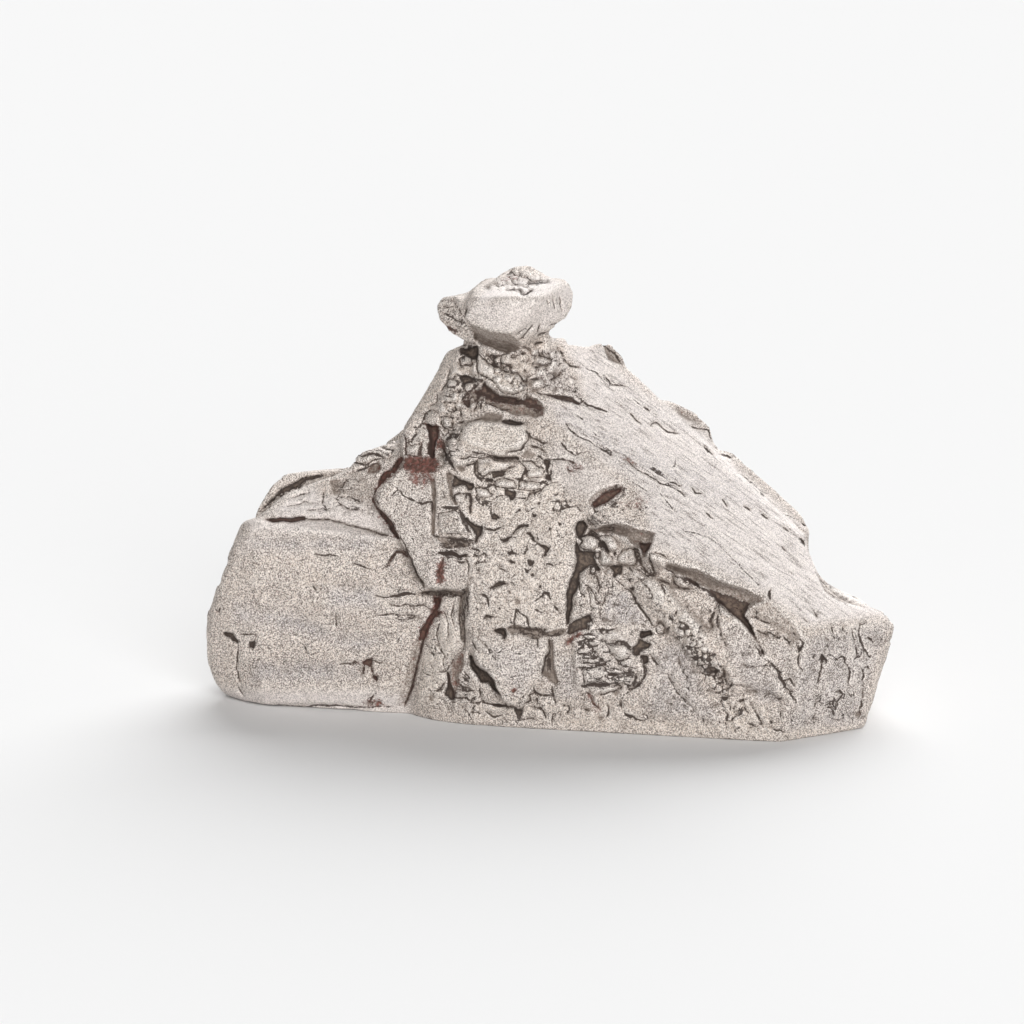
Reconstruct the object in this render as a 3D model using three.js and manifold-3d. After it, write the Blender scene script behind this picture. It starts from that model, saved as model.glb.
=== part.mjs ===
// Iron meteorite: a single lump of nickel-iron, 90 mm wide, broken and weathered into a lopsided pyramid.
// It is one natural piece, so it is one solid and one node. The frame is millimetres, +Z up, with the
// front towards -Y. The origin is the middle of the underside of its box, on the surface it rests on.
//
// The lump is built as the masses that it reads as: a smooth block on the left, a cracked column in the
// middle, a long sloping roof down to the right, and an anvil-shaped cap on a narrow neck. Each mass is
// the convex hull of a few corners. The masses are joined, the deep clefts between them are cut, and the
// underside is worn flat where the lump stands.

import * as THREE from "three";
import { ConvexGeometry } from "three/addons/geometries/ConvexGeometry.js";
import { mergeVertices } from "three/addons/utils/BufferGeometryUtils.js";
import Module from "manifold-3d";

const wasm = await Module();
wasm.setup();

// ---- Driving dimensions, in millimetres ----

// Corners on the front are given as a sculptor squares up a front view: across, up and depth, as seen
// along a sight line that looks down by SIGHT_TILT from SIGHT_DISTANCE away and meets SIGHT_CENTRE.
const SIGHT_TILT = THREE.MathUtils.degToRad(12);
const SIGHT_DISTANCE = 555;
const SIGHT_CENTRE = new THREE.Vector3(-5, 0, 25.6);

const BURIED = -1.5; // how far each foot reaches below the ground before the underside is worn flat
const GROUND = 200; // side of the block that wears the underside flat
const WELD = 1e-4;

// ---- Helpers ----

const sightUp = new THREE.Vector3(0, Math.sin(SIGHT_TILT), Math.cos(SIGHT_TILT));
const sightAlong = new THREE.Vector3(0, Math.cos(SIGHT_TILT), -Math.sin(SIGHT_TILT));
const eye = SIGHT_CENTRE.clone().addScaledVector(sightAlong, -SIGHT_DISTANCE);

function sightLine(across, up) {
  const aim = SIGHT_CENTRE.clone().addScaledVector(sightUp, up);
  aim.x += across;
  return aim.sub(eye);
}

// The point seen at (across, up) in the front view, on the plane y = depth.
function seen([across, up, depth]) {
  const ray = sightLine(across, up);
  return eye.clone().addScaledVector(ray, (depth - eye.y) / ray.y);
}

// A base corner seen at (across, up) where it meets the ground, with its root below the ground.
function standing([across, up]) {
  const ray = sightLine(across, up);
  const corner = eye.clone().addScaledVector(ray, -eye.z / ray.z);
  return [corner, corner.clone().setZ(BURIED)];
}

function solid(geometry) {
  geometry.deleteAttribute("normal");
  geometry.deleteAttribute("uv");
  const merged = mergeVertices(geometry, WELD);
  return new wasm.Manifold(
    new wasm.Mesh({
      numProp: 3,
      vertProperties: merged.attributes.position.array,
      triVerts: new Uint32Array(merged.index.array),
    }),
  );
}

// A convex mass from corners on the front view, hidden corners in the frame, and corners on the ground.
function mass({ front = [], hidden = [], ground = [] }) {
  const corners = [
    ...front.map(seen),
    ...hidden.map((corner) => new THREE.Vector3(...corner)),
    ...ground.flatMap(standing),
  ];
  return solid(new ConvexGeometry(corners));
}

// ---- The left of the lump ----

const leftBlock = () =>
  mass({
    front: [
      [-11, -12, -7], [-14.5, -3.6, -6.5], [-33.6, -1.2, -4.6], [-35.2, -1.4, -2], [-38.3, -9, -1.5],
      [-39.8, -14, 1.5], [-39.8, -19.5, 1.5], [-38.9, -22, 1.5], [-33, -22.6, -3.6], [-13.6, -23, -6.6],
    ],
    hidden: [
      [-42, 12, 6], [-40, 13, 18], [-36, 14, 23], [-16, 16, 24], [-14, 17, 0], [-40, 12, 0], [-37, 16, 0],
    ],
    ground: [[-36.6, -23.6], [-32.2, -25.2], [-14, -26.2]],
  });

const leftStep = () =>
  mass({
    front: [
      [-33, -0.7, -2.2], [-29.5, 2.4, -0.8], [-25, 4.1, 0], [-21, 5.4, 0.5], [-14.5, 6, 0], [-12, 2, -4],
      [-13, -3, -5.6],
    ],
    hidden: [[-36, 8, 23], [-28, 10, 28], [-18, 12, 30], [-14, 13, 28]],
  });

const backPlate = () =>
  mass({
    front: [
      [-33.4, 0.2, 2.5], [-31.5, 3.4, 3], [-29.6, 4.9, 3.5], [-25.6, 5.3, 4], [-21, 5.6, 4],
    ],
    hidden: [[-37, 4, 22], [-36, 8, 24], [-32, 9, 28.5], [-24, 10, 29.5], [-24, 4, 22]],
  });

const shoulder = () =>
  mass({
    front: [
      [-21, 5.6, 0.5], [-19.6, 7.7, 1.5], [-17.6, 8.6, 2], [-15, 8.2, 1.5], [-13.5, 7, -0.5],
      [-16, 5, -1.2],
    ],
    hidden: [[-26, 10, 29], [-18, 12, 33], [-10, 12, 34], [-12, 4, 26]],
  });

const stump = () =>
  mass({
    front: [
      [-14.3, 6, -3.4], [-14.2, 10, -2.6], [-13.2, 12.2, -2], [-11.4, 12.6, -2.2], [-10.7, 10.5, -3.8],
      [-10.5, 5.5, -5.6], [-13.6, 5, -4.8],
    ],
    hidden: [[-20, 5, 30], [-17, 6, 38], [-10, 6, 38]],
  });

// ---- The middle ----

const tongue = () =>
  mass({
    front: [
      [-17.6, 1.6, -6.4], [-16.4, 3.6, -6], [-13.7, 6.2, -5.6], [-10.3, 6.2, -6.6], [-10.1, -3, -9.4],
      [-6, -6, -10.6], [-6.1, -9.2, -10.6], [-7.2, -10, -10.4], [-10.8, -9.9, -9.8], [-12.2, -8.4, -9.4],
      [-14.2, -4, -8.4], [-15.8, -1.2, -7.4],
    ],
    hidden: [[-22, 4, 24], [-12, 4, 12], [-10, 4, 34]],
  });

const innerPlate = () =>
  mass({
    front: [
      [-9.9, 5.6, -7.2], [-8.6, 4.4, -8.2], [-6.6, 2.6, -9.6], [-6.3, -1, -11], [-5, -3, -11.4],
      [-5.7, -4, -11.2], [-9.8, -3.8, -10.4],
    ],
    hidden: [[-14, 2, 22], [-8, 2, 22], [-10, 2, 32]],
  });

const lowerWedge = () =>
  mass({
    front: [
      [-9.4, -11.7, -8.2], [-6.3, -11.2, -9.6], [-6.2, -19, -11.8], [-5, -25, -12.4], [-11.6, -24, -8.6],
      [-12.8, -22, -7], [-11, -15.6, -7.6],
    ],
    hidden: [[-18, 6, 0], [-12, 6, 16], [-2, 8, 0]],
    ground: [[-13.6, -26.2], [-10, -27.2], [-4, -27.8]],
  });

const column = () =>
  mass({
    front: [
      [-5.6, -5, -11], [-4.6, 3, -9.6], [-8.4, 6, -7.2], [-8.4, 9.4, -6], [-6, 12, -5.6], [3, 12, -7],
      [5.2, 6, -10], [8.6, 0.4, -12.2], [8.6, -2, -12.6], [7.6, -7, -13.4], [6.6, -11, -13.6],
      [6.4, -15.4, -13.6], [0, -15.4, -13.4], [-5.6, -18, -12.2], [-5.8, -11, -11.6],
    ],
    hidden: [[-16, 6, 30], [6, 8, 34], [2, 10, 12], [-12, 8, 12]],
  });

const lowerTongue = () =>
  mass({
    front: [
      [-5, -16.4, -13], [-4.9, -18.8, -13.8], [-2.8, -22, -14.8], [-1, -24.6, -15], [1, -25.9, -14.8],
      [2, -24, -15], [4, -21.4, -14.8], [4.6, -18.4, -14.4], [4.9, -16.6, -13.6], [0, -15.2, -13.6],
    ],
    hidden: [[-10, 4, 4], [0, 4, 2], [0, 4, 14], [-10, 4, 14]],
  });

const lozenge = () =>
  mass({
    front: [
      [-8.6, 8.2, -8.2], [-7.6, 10.4, -7.4], [-5.4, 11.8, -7.6], [2, 11.2, -9.2], [2.3, 9.2, -10],
      [1, 7.9, -10.6], [-1, 7.5, -10.6], [-6.4, 8, -9.4], [-7.4, 5.8, -9],
    ],
    hidden: [[-14, 4, 32], [0, 4, 32], [-6, 6, 38]],
  });

// The broad foot under the column and across to the right.
const foot = () =>
  mass({
    front: [
      [9.2, -3, -12.2], [12.6, -3, -13], [17.4, -5.4, -14.8], [21, -8.2, -16], [26, -11.2, -17.2],
      [31, -14.8, -18.4], [36.6, -18.6, -19.6], [37.6, -25, -20], [24, -26, -18.4], [4, -24.6, -14],
      [-5, -21, -12.4],
    ],
    hidden: [[-12, 16, 0], [-4, 22, 0], [22, 21, 0], [33, 12, 0], [16, 14, 20], [-8, 14, 16]],
    ground: [[-6, -27.6], [0, -28.1], [12, -28.4], [26, -29.5], [34.4, -30], [38, -29.4]],
  });

// ---- Broken plates and ribs that stand proud of the front ----

const ribBand = () =>
  mass({
    front: [
      [15.6, -7.6, -15.4], [19.4, -9.6, -16.8], [24, -14.4, -18.6], [27.4, -20.4, -19.6],
      [25.2, -21, -19.2], [20.4, -15.2, -17.6], [15.2, -9, -15.6],
    ],
    hidden: [[12, -8, 14], [20, -10, 8], [14, -8, 10]],
  });

const plateStack = () =>
  mass({
    front: [
      [8.4, -15.4, -15], [13.6, -15.6, -16.4], [15.6, -18, -17], [15.4, -21.4, -17], [12, -23.6, -16.6],
      [8.4, -22.6, -15.8],
    ],
    hidden: [[4, -8, 9], [10, -8, 9], [10, -8, 3], [4, -8, 3]],
  });

const plateRidge = () =>
  mass({
    front: [
      [8.4, -8, -14.4], [11, -9.6, -15.2], [11.4, -13.6, -15.6], [8, -14.2, -14.6],
    ],
    hidden: [[4, -6, 16], [6, -6, 12]],
  });

const nugget = () =>
  mass({
    front: [
      [8.8, -3.6, -13.2], [10.2, -3.3, -13.8], [11.4, -3.9, -14], [11.4, -5, -14.2], [9.6, -5.4, -14],
      [8.8, -4.8, -13.4],
    ],
    hidden: [[5, -6, 20], [6, -6, 22]],
  });

const knuckle = () =>
  mass({
    front: [
      [12, -3.4, -13.8], [13.4, -3.5, -14.6], [14.6, -5, -15], [14.2, -6.4, -15], [12.2, -6.6, -14.6],
      [11.6, -5, -14.2],
    ],
    hidden: [[7, -6, 20], [8, -6, 22]],
  });

const fawnStep = () =>
  mass({
    front: [
      [26.8, -12.6, -18.4], [30.8, -15.2, -19.4], [34, -19.8, -20.4], [35.6, -24, -20.8],
      [28.8, -22.4, -19.8], [26.6, -16.4, -19],
    ],
    hidden: [[20, -10, 8], [26, -12, 8], [24, -10, 14]],
  });

const slantedSlab = () =>
  mass({
    front: [
      [-4.6, 20.8, -3.4], [-3, 19.6, -4.6], [-0.8, 18.4, -5.6], [0.9, 18, -6.2], [1.8, 16.6, -7],
      [1.7, 15.6, -7.2], [-1.4, 15.6, -7], [-2.6, 17, -6], [-4.8, 18.2, -4.4],
    ],
    hidden: [[-8, 4, 42], [-4, 4, 44], [-10, 2, 46]],
  });

// ---- The peak ----

const peak = () =>
  mass({
    front: [
      [-14, 11, 0], [-12.3, 13, 0.2], [-10.2, 17, 1], [-8.3, 20.6, 1.4], [-6.6, 21.6, -0.4],
      [-2, 22, -2.6], [4.4, 22.4, -2], [5, 18, -4.4], [4.6, 15.4, -6], [-1, 15.6, -6.2], [-4, 16.6, -5],
      [-8.4, 15, -3.6], [-10.2, 12.4, -3.4], [-10, 9, -4.4], [-5.4, 12.4, -5], [3, 13, -6.8],
    ],
    hidden: [[-20, 6, 32], [-17, 9, 38], [-9, 9, 46], [2, 9, 47], [8, 12, 36]],
  });

const neck = () =>
  mass({
    front: [[-6.8, 21, -0.6], [-6, 22.8, -1], [4.6, 23.2, -2.2], [5, 21, -2.6], [0, 21, -3.4]],
    hidden: [[-9, 6, 46], [0, 7, 46], [-8, 5, 52], [-1, 5, 52]],
  });

const cap = () =>
  mass({
    front: [
      [-6.2, 25.4, -6.4], [-6, 27, -6.2], [-5, 27.8, -6.6], [0, 28, -8.6], [3.4, 27.8, -8],
      [0.2, 23.6, -8.4], [-0.8, 23.2, -8.4], [-3, 23.5, -7.8], [-5, 24.3, -7], [-3.8, 22.2, -4.4],
      [-0.6, 20.9, -3.4], [1.2, 21.4, -4], [4.8, 23.6, -4.4], [5.4, 25, -4.6], [7.2, 25.2, -2.4],
      [7.9, 26.6, -1.4], [8, 28.6, -1.2], [7, 29.9, -1.6], [-5, 29, -2], [5, 30.4, 1.4],
    ],
    hidden: [[-10, 8, 54], [-8, 10, 55], [2, 9, 55], [0, 10, 52], [-7, 8, 50]],
  });

const capCrest = () =>
  mass({
    front: [
      [-2.6, 30, 0.2], [-1.2, 31.1, 2.4], [0.6, 31.9, 4], [2.2, 32, 4.6], [4.6, 30.8, 3.2],
      [3, 29, -1.4], [0, 29, -2.4],
    ],
    hidden: [[-6, 8, 55], [-1, 8, 54.6], [-4, 4, 52]],
  });

const capLobe = () =>
  mass({
    front: [
      [-9.8, 26.8, -0.6], [-9.6, 25, -1.2], [-8.4, 23.4, -2], [-6, 22.1, -2.8], [-4.6, 23, -4.4],
      [-5.6, 26.6, -4.8], [-7.4, 28, -2.4], [-9, 27.9, 0],
    ],
    hidden: [[-13, 5, 52], [-8, 8, 54], [-8, 6, 49]],
  });

// ---- The roof on the right ----

const roof = () =>
  mass({
    front: [
      [2.2, 15.6, -5.8], [4.6, 12, -7.6], [5.2, 7, -9.8], [9.2, 1, -12.2], [9.8, -0.6, -12.8],
      [14, -1.6, -15.4], [17.8, -5.6, -17.8], [18.4, -6.4, -17.6], [24, -7.6, -18.6], [33.2, -11.4, -18.8],
      [37, -14.8, -19.8], [38.2, -17, -20.2], [42.4, -15.4, -16.4], [49.8, -15, -8.6], [48.4, -17.6, -10.4],
      [4.4, 21.6, -0.8], [5.6, 22.2, 1.4], [11, 21.6, 4], [13, 20.4, 4.4], [15, 17.4, 4],
      [18.6, 14.6, 4.2], [26, 8.4, 4.4], [30, 4.8, 4], [36.6, -2.4, 2.6], [43, -9, -1.6],
      [48.4, -12.8, -6],
    ],
    hidden: [[-4, 9, 42], [6, 12, 40], [18, 14, 30], [33, 8, 18], [40, 2, 10], [14, -2, 14], [34, -6, 6]],
  });

const roofKnobHigh = () =>
  mass({
    front: [
      [9, 21, 2.4], [11.6, 22.3, 4], [13, 21.9, 4.4], [14.4, 20.2, 4.6], [14.9, 18, 4.4],
      [12.4, 18, 1.8],
    ],
    hidden: [[3, 12, 44], [8, 12, 42], [10, 12, 39], [6, 12, 38]],
  });

const roofKnobMiddle = () =>
  mass({
    front: [
      [19, 14.4, 3.6], [21, 14.3, 4.4], [24, 12.8, 4.8], [25.8, 10.8, 4.8], [26.1, 9, 4.4],
      [22, 9.6, 1.4],
    ],
    hidden: [[13, 13, 38], [18, 13, 35], [20, 12, 31], [14, 12, 33]],
  });

const roofKnobLow = () =>
  mass({
    front: [
      [27.4, 7.9, 4.2], [28.6, 7.5, 5], [33.6, 3.4, 4.4], [37.8, -0.6, 3.4], [39.1, -2.8, 2.6],
      [38.7, -4.2, 1.8], [33, -1, -2],
    ],
    hidden: [[23, 12, 31], [28, 11, 27], [32, 8, 22], [24, 8, 24]],
  });

// The cracked end of the lump, under the low end of the roof.
const endBlock = () =>
  mass({
    front: [
      [33.6, -12.4, -17.6], [38, -17.4, -20], [37.2, -21.6, -20.6], [42.6, -18.2, -16.6],
      [46.1, -26.4, -13.2], [46.1, -23.4, -13], [48.2, -18.4, -11.4], [49.6, -15.6, -9], [45, -12.6, -9],
    ],
    hidden: [[24, 8, 0], [37, 9, 0], [42, 3, 6], [41, 1, 14], [30, 2, 18], [36, 8, 12]],
    ground: [[34.4, -30], [38, -29.4], [42, -28.8], [45.4, -28.2]],
  });

// ---- The back, which holds the masses together ----

const backLow = () =>
  mass({
    hidden: [
      [-41, 13, 5], [-37, 17, 0], [-28, 21, 0], [-10, 25, 0], [12, 24, 0], [28, 18, 0], [36, 10, 0],
      [37, 8, 12], [-38, 13, 19], [-26, 20, 14], [-8, 24.4, 8], [14, 21, 16], [28, 14, 17],
      [-14, 0, 0], [20, -8, 0],
    ],
  });

const backHigh = () =>
  mass({
    hidden: [
      [-35, 12, 23], [-27, 14, 27], [-17, 15, 32], [-11, 13, 40], [-4, 12, 45], [3, 13, 42],
      [9, 14, 37], [19, 14, 30], [29, 11, 22], [-16, 21, 18], [-4, 22, 22], [10, 19, 22],
      [-20, 4, 10], [20, 0, 10],
    ],
  });

const backStep = () =>
  mass({
    hidden: [
      [-27, 21.6, 4], [-20, 22.6, 14], [-12, 21.4, 25], [-6, 18.6, 34], [1, 20.4, 27], [0, 24.4, 12],
      [-6, 25.2, 3], [-16, 24.4, 3], [-24, 16, 4], [-10, 12, 30], [0, 14, 8],
    ],
  });

// ---- Clefts, cut as wedges that narrow from the mouth to the root ----

const browHollow = () =>
  mass({
    front: [
      [-6.4, 13.8, -9], [-5, 15.6, -9], [-1, 14.8, -10], [2.2, 15.4, -10], [4.2, 13.6, -10],
      [3.6, 12.6, -10], [-1, 12.9, -10], [-4, 12.8, -9], [-3.6, 14.6, -1.6], [2, 14.4, -3],
    ],
  });

const roofSlot = () =>
  mass({
    front: [
      [10.2, 1, -20], [12.2, 2.9, -20], [14.6, 3.6, -20], [13.6, 1.9, -20], [11.6, 0.8, -20],
      [11.6, 1.8, -9], [13.6, 2.6, -9],
    ],
  });

const columnGroove = () =>
  mass({
    front: [
      [9.4, -0.4, -16], [8.2, -3.6, -16], [8.4, -7, -16], [7.1, -10, -16], [7.2, -14.6, -16],
      [8, -14, -16], [8.6, -9, -16], [9.8, -6, -16], [10, -2, -16], [9, -4, -8], [7.8, -11, -10],
    ],
  });

const lipHollow = () =>
  mass({
    front: [
      [18.6, -7.2, -22], [22, -6.8, -22], [28, -9, -22], [33, -11.6, -22], [31, -13.8, -22],
      [25, -10.6, -22], [22, -8, -14], [29.4, -11.6, -14.8],
    ],
  });

const ledgeHollow = () =>
  mass({
    front: [
      [10.2, -1.7, -20], [14, -2.1, -20], [18.9, -3.2, -20], [17.3, -5.2, -20], [13, -3.6, -20],
      [13, -2.8, -10.6], [17, -3.9, -11],
    ],
  });

const stepHollow = () =>
  mass({
    front: [
      [-33, 0.2, -6], [-29.6, 3.4, -6], [-27, 4.4, -6], [-24.6, 5, -6], [-25, 4.5, -6],
      [-29.4, 2.5, -6], [-31.4, 1.2, 3.4], [-27, 3.8, 3.6],
    ],
  });

// The dip in the skyline where the roof falls behind its lowest knob.
const roofDip = () =>
  mass({
    front: [
      [38.4, -5, -6], [40, -8.3, -7], [43, -10, -8], [46, -11.3, -9], [52, -14, -9], [52, 0, -9],
      [38.8, -2, -6], [38.3, -5, 10], [40, -8.3, 10], [43, -10, 10], [46, -11.3, 10], [52, -14, 10],
      [52, 0, 10], [38.8, -2, 10], [41, -11, -12.4],
    ],
  });

// The groove that parts the lower tongue from the wedge on its left.
const tongueGroove = () =>
  mass({
    front: [
      [-6, -18.6, -20], [-4.9, -18.6, -20], [-3.8, -20.9, -20], [-1.2, -23.6, -20], [-1.8, -23.9, -20],
      [-4.6, -21.6, -20], [-5, -19.6, -10.6], [-3, -22.4, -11.6],
    ],
  });

const stumpSlot = () =>
  mass({
    front: [
      [-10.9, 11.6, -12], [-10.2, 11.6, -12], [-9.6, 7.4, -12], [-10.5, 7.2, -12], [-10.6, 11, -1],
      [-10, 7.6, -1.6],
    ],
  });

const backHollow = () =>
  mass({
    hidden: [[3, 30, 10], [20, 30, 8], [24, 26, 22], [8, 28, 30], [11, 19, 15], [13, 17.6, 20]],
  });

// ---- Joining, cutting and wearing flat ----

function lump() {
  const masses = [
    leftBlock(), leftStep(), backPlate(), shoulder(), stump(), tongue(), innerPlate(), lowerWedge(),
    column(), lowerTongue(), lozenge(), foot(), ribBand(), plateStack(), plateRidge(), nugget(),
    knuckle(), fawnStep(), slantedSlab(), peak(), neck(), cap(), capCrest(), capLobe(), roof(),
    roofKnobHigh(), roofKnobMiddle(), endBlock(), backLow(), backHigh(), backStep(),
  ];
  const cuts = [
    browHollow(), roofSlot(), columnGroove(), lipHollow(), ledgeHollow(), stepHollow(), roofDip(),
    tongueGroove(), stumpSlot(), backHollow(),
  ];
  const ground = solid(new THREE.BoxGeometry(GROUND, GROUND, GROUND).translate(0, 0, -GROUND / 2));
  const joined = masses.reduce((whole, next) => whole.add(next));
  const cleft = cuts.reduce((whole, next) => whole.subtract(next), joined);
  const worn = cleft.add(roofKnobLow()).subtract(ground);
  const box = worn.boundingBox();
  return worn.translate([-(box.min[0] + box.max[0]) / 2, -(box.min[1] + box.max[1]) / 2, 0]);
}

function geometryOf(manifold) {
  const mesh = manifold.getMesh();
  const geometry = new THREE.BufferGeometry();
  geometry.setAttribute("position", new THREE.BufferAttribute(new Float32Array(mesh.vertProperties), 3));
  geometry.setIndex(new THREE.BufferAttribute(mesh.triVerts, 1));
  return geometry;
}

const iron = new THREE.MeshStandardMaterial({ color: 0xb9aca4, roughness: 0.75, metalness: 0.3 });

const body = new THREE.Mesh(geometryOf(lump()), iron);
body.name = "meteorite";

const meteorite = new THREE.Group();
meteorite.add(body);

export default meteorite;
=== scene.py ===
"""An iron meteorite: a pale, cleaned lump of nickel-iron with a cracked front and rust left in its clefts.

The lump starts from its CAD solid. The solid's surface is held as distances on a grid of voxels, where
its edges are worn round and the relief of its front is cut: cracks, plates, nuggets and hollows, each
drawn where it lies on the front view, in millimetres. Geometry Nodes then roughen the whole surface, and
break the sides that the front view doesn't reach into plates. The finish reads how deep and how near to
a crack each point is, so that the rust and the dark stay in the cracks. It also paints shade into the dips
and onto a few faces turned from the light, and paints light onto the edges and onto a few lit faces.
"""

import math

import bmesh
import bpy
import numpy as np
import openvdb
from bpy.props import FloatProperty, FloatVectorProperty, IntProperty, PointerProperty
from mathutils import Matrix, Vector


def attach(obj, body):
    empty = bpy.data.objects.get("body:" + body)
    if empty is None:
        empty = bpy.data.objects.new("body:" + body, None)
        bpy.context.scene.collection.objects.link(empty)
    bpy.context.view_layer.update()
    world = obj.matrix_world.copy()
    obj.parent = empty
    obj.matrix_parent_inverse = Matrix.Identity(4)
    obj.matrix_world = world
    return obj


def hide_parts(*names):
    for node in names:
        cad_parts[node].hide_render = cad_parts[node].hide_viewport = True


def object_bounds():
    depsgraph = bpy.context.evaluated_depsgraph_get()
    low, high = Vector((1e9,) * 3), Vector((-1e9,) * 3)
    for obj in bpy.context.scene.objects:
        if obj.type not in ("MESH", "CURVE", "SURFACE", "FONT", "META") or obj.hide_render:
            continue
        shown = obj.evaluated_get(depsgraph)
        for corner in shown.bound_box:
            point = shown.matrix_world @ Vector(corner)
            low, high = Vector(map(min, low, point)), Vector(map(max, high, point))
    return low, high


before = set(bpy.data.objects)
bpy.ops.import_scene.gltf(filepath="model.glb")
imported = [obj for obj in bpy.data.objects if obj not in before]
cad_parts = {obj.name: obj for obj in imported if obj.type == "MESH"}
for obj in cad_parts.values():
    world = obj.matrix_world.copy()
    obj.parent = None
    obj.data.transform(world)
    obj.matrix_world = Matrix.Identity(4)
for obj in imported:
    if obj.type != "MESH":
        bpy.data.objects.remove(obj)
box_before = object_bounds()

bl_info = {
    "name": "Iron Meteorite",
    "version": (1, 1, 0),
    "blender": (4, 5, 0),
    "location": "3D View > Sidebar > Meteorite",
    "description": "Builds a weathered iron meteorite and a plain studio around it",
    "category": "Object",
}

MM = 0.001
NODE = "meteorite"

# The front view that the relief is drawn on, in millimetres: what its sight lines meet in the middle,
# how far away they start, and how steeply they look down.
SIGHT_CENTRE = np.array([-4.538, -2.3, 25.6])
SIGHT_DISTANCE = 555.0
SIGHT_TILT = math.radians(12.0)
SENSOR_WIDTH = 36.0
LENS = 150.0

REACH = 2.8  # how far from the surface the distances are kept
MARGIN = 2.0  # room around the lump in the grid of voxels
NO_LINE = -0.1  # half width of a crack where there is none
FAR = 2.0  # a distance that stands for nothing near
ON_FRONT = 0.02  # a point that the front view meets this much or less is on a hidden side

LATTICE = 256  # points along a side of the noise's lattice, before it repeats
PLATES = 64  # plates along a side of the broken plates, before they repeat
LATTICE_SHIFT = 1000.0  # moves both, so that no place on them is negative
CLOUD_LAYERS = 3  # sizes of smooth noise in cloudy noise
TINY = 1e-9  # keeps a length from being nothing


# ---- Noise and distances on plain arrays ----


def smoothstep(low, high, value):
    """0 below low, 1 above high, and a smooth rise between them."""
    share = np.clip((value - low) / (high - low), 0.0, 1.0)
    return share * share * (3.0 - 2.0 * share)


def soft_noise(across, up, size, seed):
    """Smooth noise from -1 to 1 whose lumps are about size wide."""
    lattice = np.random.default_rng(seed).uniform(-1.0, 1.0, (LATTICE, LATTICE)).astype(np.float32)
    x, y = across / size + LATTICE_SHIFT, up / size + LATTICE_SHIFT
    column, row = np.floor(x).astype(int), np.floor(y).astype(int)
    fx, fy = smoothstep(0.0, 1.0, x - column), smoothstep(0.0, 1.0, y - row)
    left, right = column % LATTICE, (column + 1) % LATTICE
    low, high = row % LATTICE, (row + 1) % LATTICE
    bottom = lattice[low, left] * (1 - fx) + lattice[low, right] * fx
    top = lattice[high, left] * (1 - fx) + lattice[high, right] * fx
    return bottom * (1 - fy) + top * fy


def cloudy_noise(across, up, size, seed):
    """Several sizes of smooth noise laid over each other, from about -1 to 1."""
    layers = [soft_noise(across, up, size / 2**n, seed + n) / 2**n for n in range(CLOUD_LAYERS)]
    return sum(layers) / (2.0 - 2.0 ** (1 - CLOUD_LAYERS))


def cell_noise(across, up, size, seed):
    """Broken plates: each point's plate, as a number from 0 to 1, and its distance to the plate's edge."""
    jitter = np.random.default_rng(seed).uniform(0.05, 0.95, (PLATES, PLATES, 3)).astype(np.float32)
    x, y = across / size + LATTICE_SHIFT, up / size + LATTICE_SHIFT
    column, row = np.floor(x).astype(int), np.floor(y).astype(int)
    nearest = np.full(x.shape, np.inf)
    second = np.full(x.shape, np.inf)
    plate = np.zeros(x.shape)
    for step_up in (-1, 0, 1):
        for step_across in (-1, 0, 1):
            c, r = column + step_across, row + step_up
            point = jitter[r % PLATES, c % PLATES]
            # a square metric makes the plates blocky
            gap = np.maximum(np.abs(c + point[..., 0] - x), np.abs(r + point[..., 1] - y))
            closer = gap < nearest
            second = np.where(closer, nearest, np.minimum(second, gap))
            plate = np.where(closer, point[..., 2], plate)
            nearest = np.where(closer, gap, nearest)
    return plate, (second - nearest) * size


def outline(text):
    """Points written as across and up, in mm, with commas between them."""
    if isinstance(text, str):
        return np.array([point.split() for point in text.split(",")], float)
    return np.asarray(text, float)


def distance_to_line(across, up, points):
    """Each point's distance to a broken line, its place along it from 0 to 1, and its side of it."""
    nearest = np.full(across.shape, np.inf)
    place = np.zeros(across.shape)
    side = np.ones(across.shape)
    spans = np.diff(points, axis=0)
    lengths = np.hypot(*spans.T)
    run = 0.0
    for start, span, length in zip(points, spans, lengths):
        x, y = across - start[0], up - start[1]
        share = np.clip((x * span[0] + y * span[1]) / max(length**2, TINY), 0.0, 1.0)
        gap = np.hypot(x - share * span[0], y - share * span[1])
        closer = gap < nearest
        nearest = np.where(closer, gap, nearest)
        place = np.where(closer, run + share * length, place)
        side = np.where(closer, np.where(x * span[1] > y * span[0], 1.0, -1.0), side)
        run += length
    return nearest, place / max(run, TINY), side


def depth_inside(across, up, corners):
    """How far each point lies inside an outline, negative outside it."""
    closed = np.vstack([corners, corners[:1]])
    gap = distance_to_line(across, up, closed)[0]
    odd = np.zeros(across.shape, bool)
    for (x0, y0), (x1, y1) in zip(closed[:-1], closed[1:]):
        if y0 != y1:
            odd ^= ((y0 > up) != (y1 > up)) & (across < (x1 - x0) * (up - y0) / (y1 - y0) + x0)
    return np.where(odd, gap, -gap)


# ---- The front's relief ----


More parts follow.
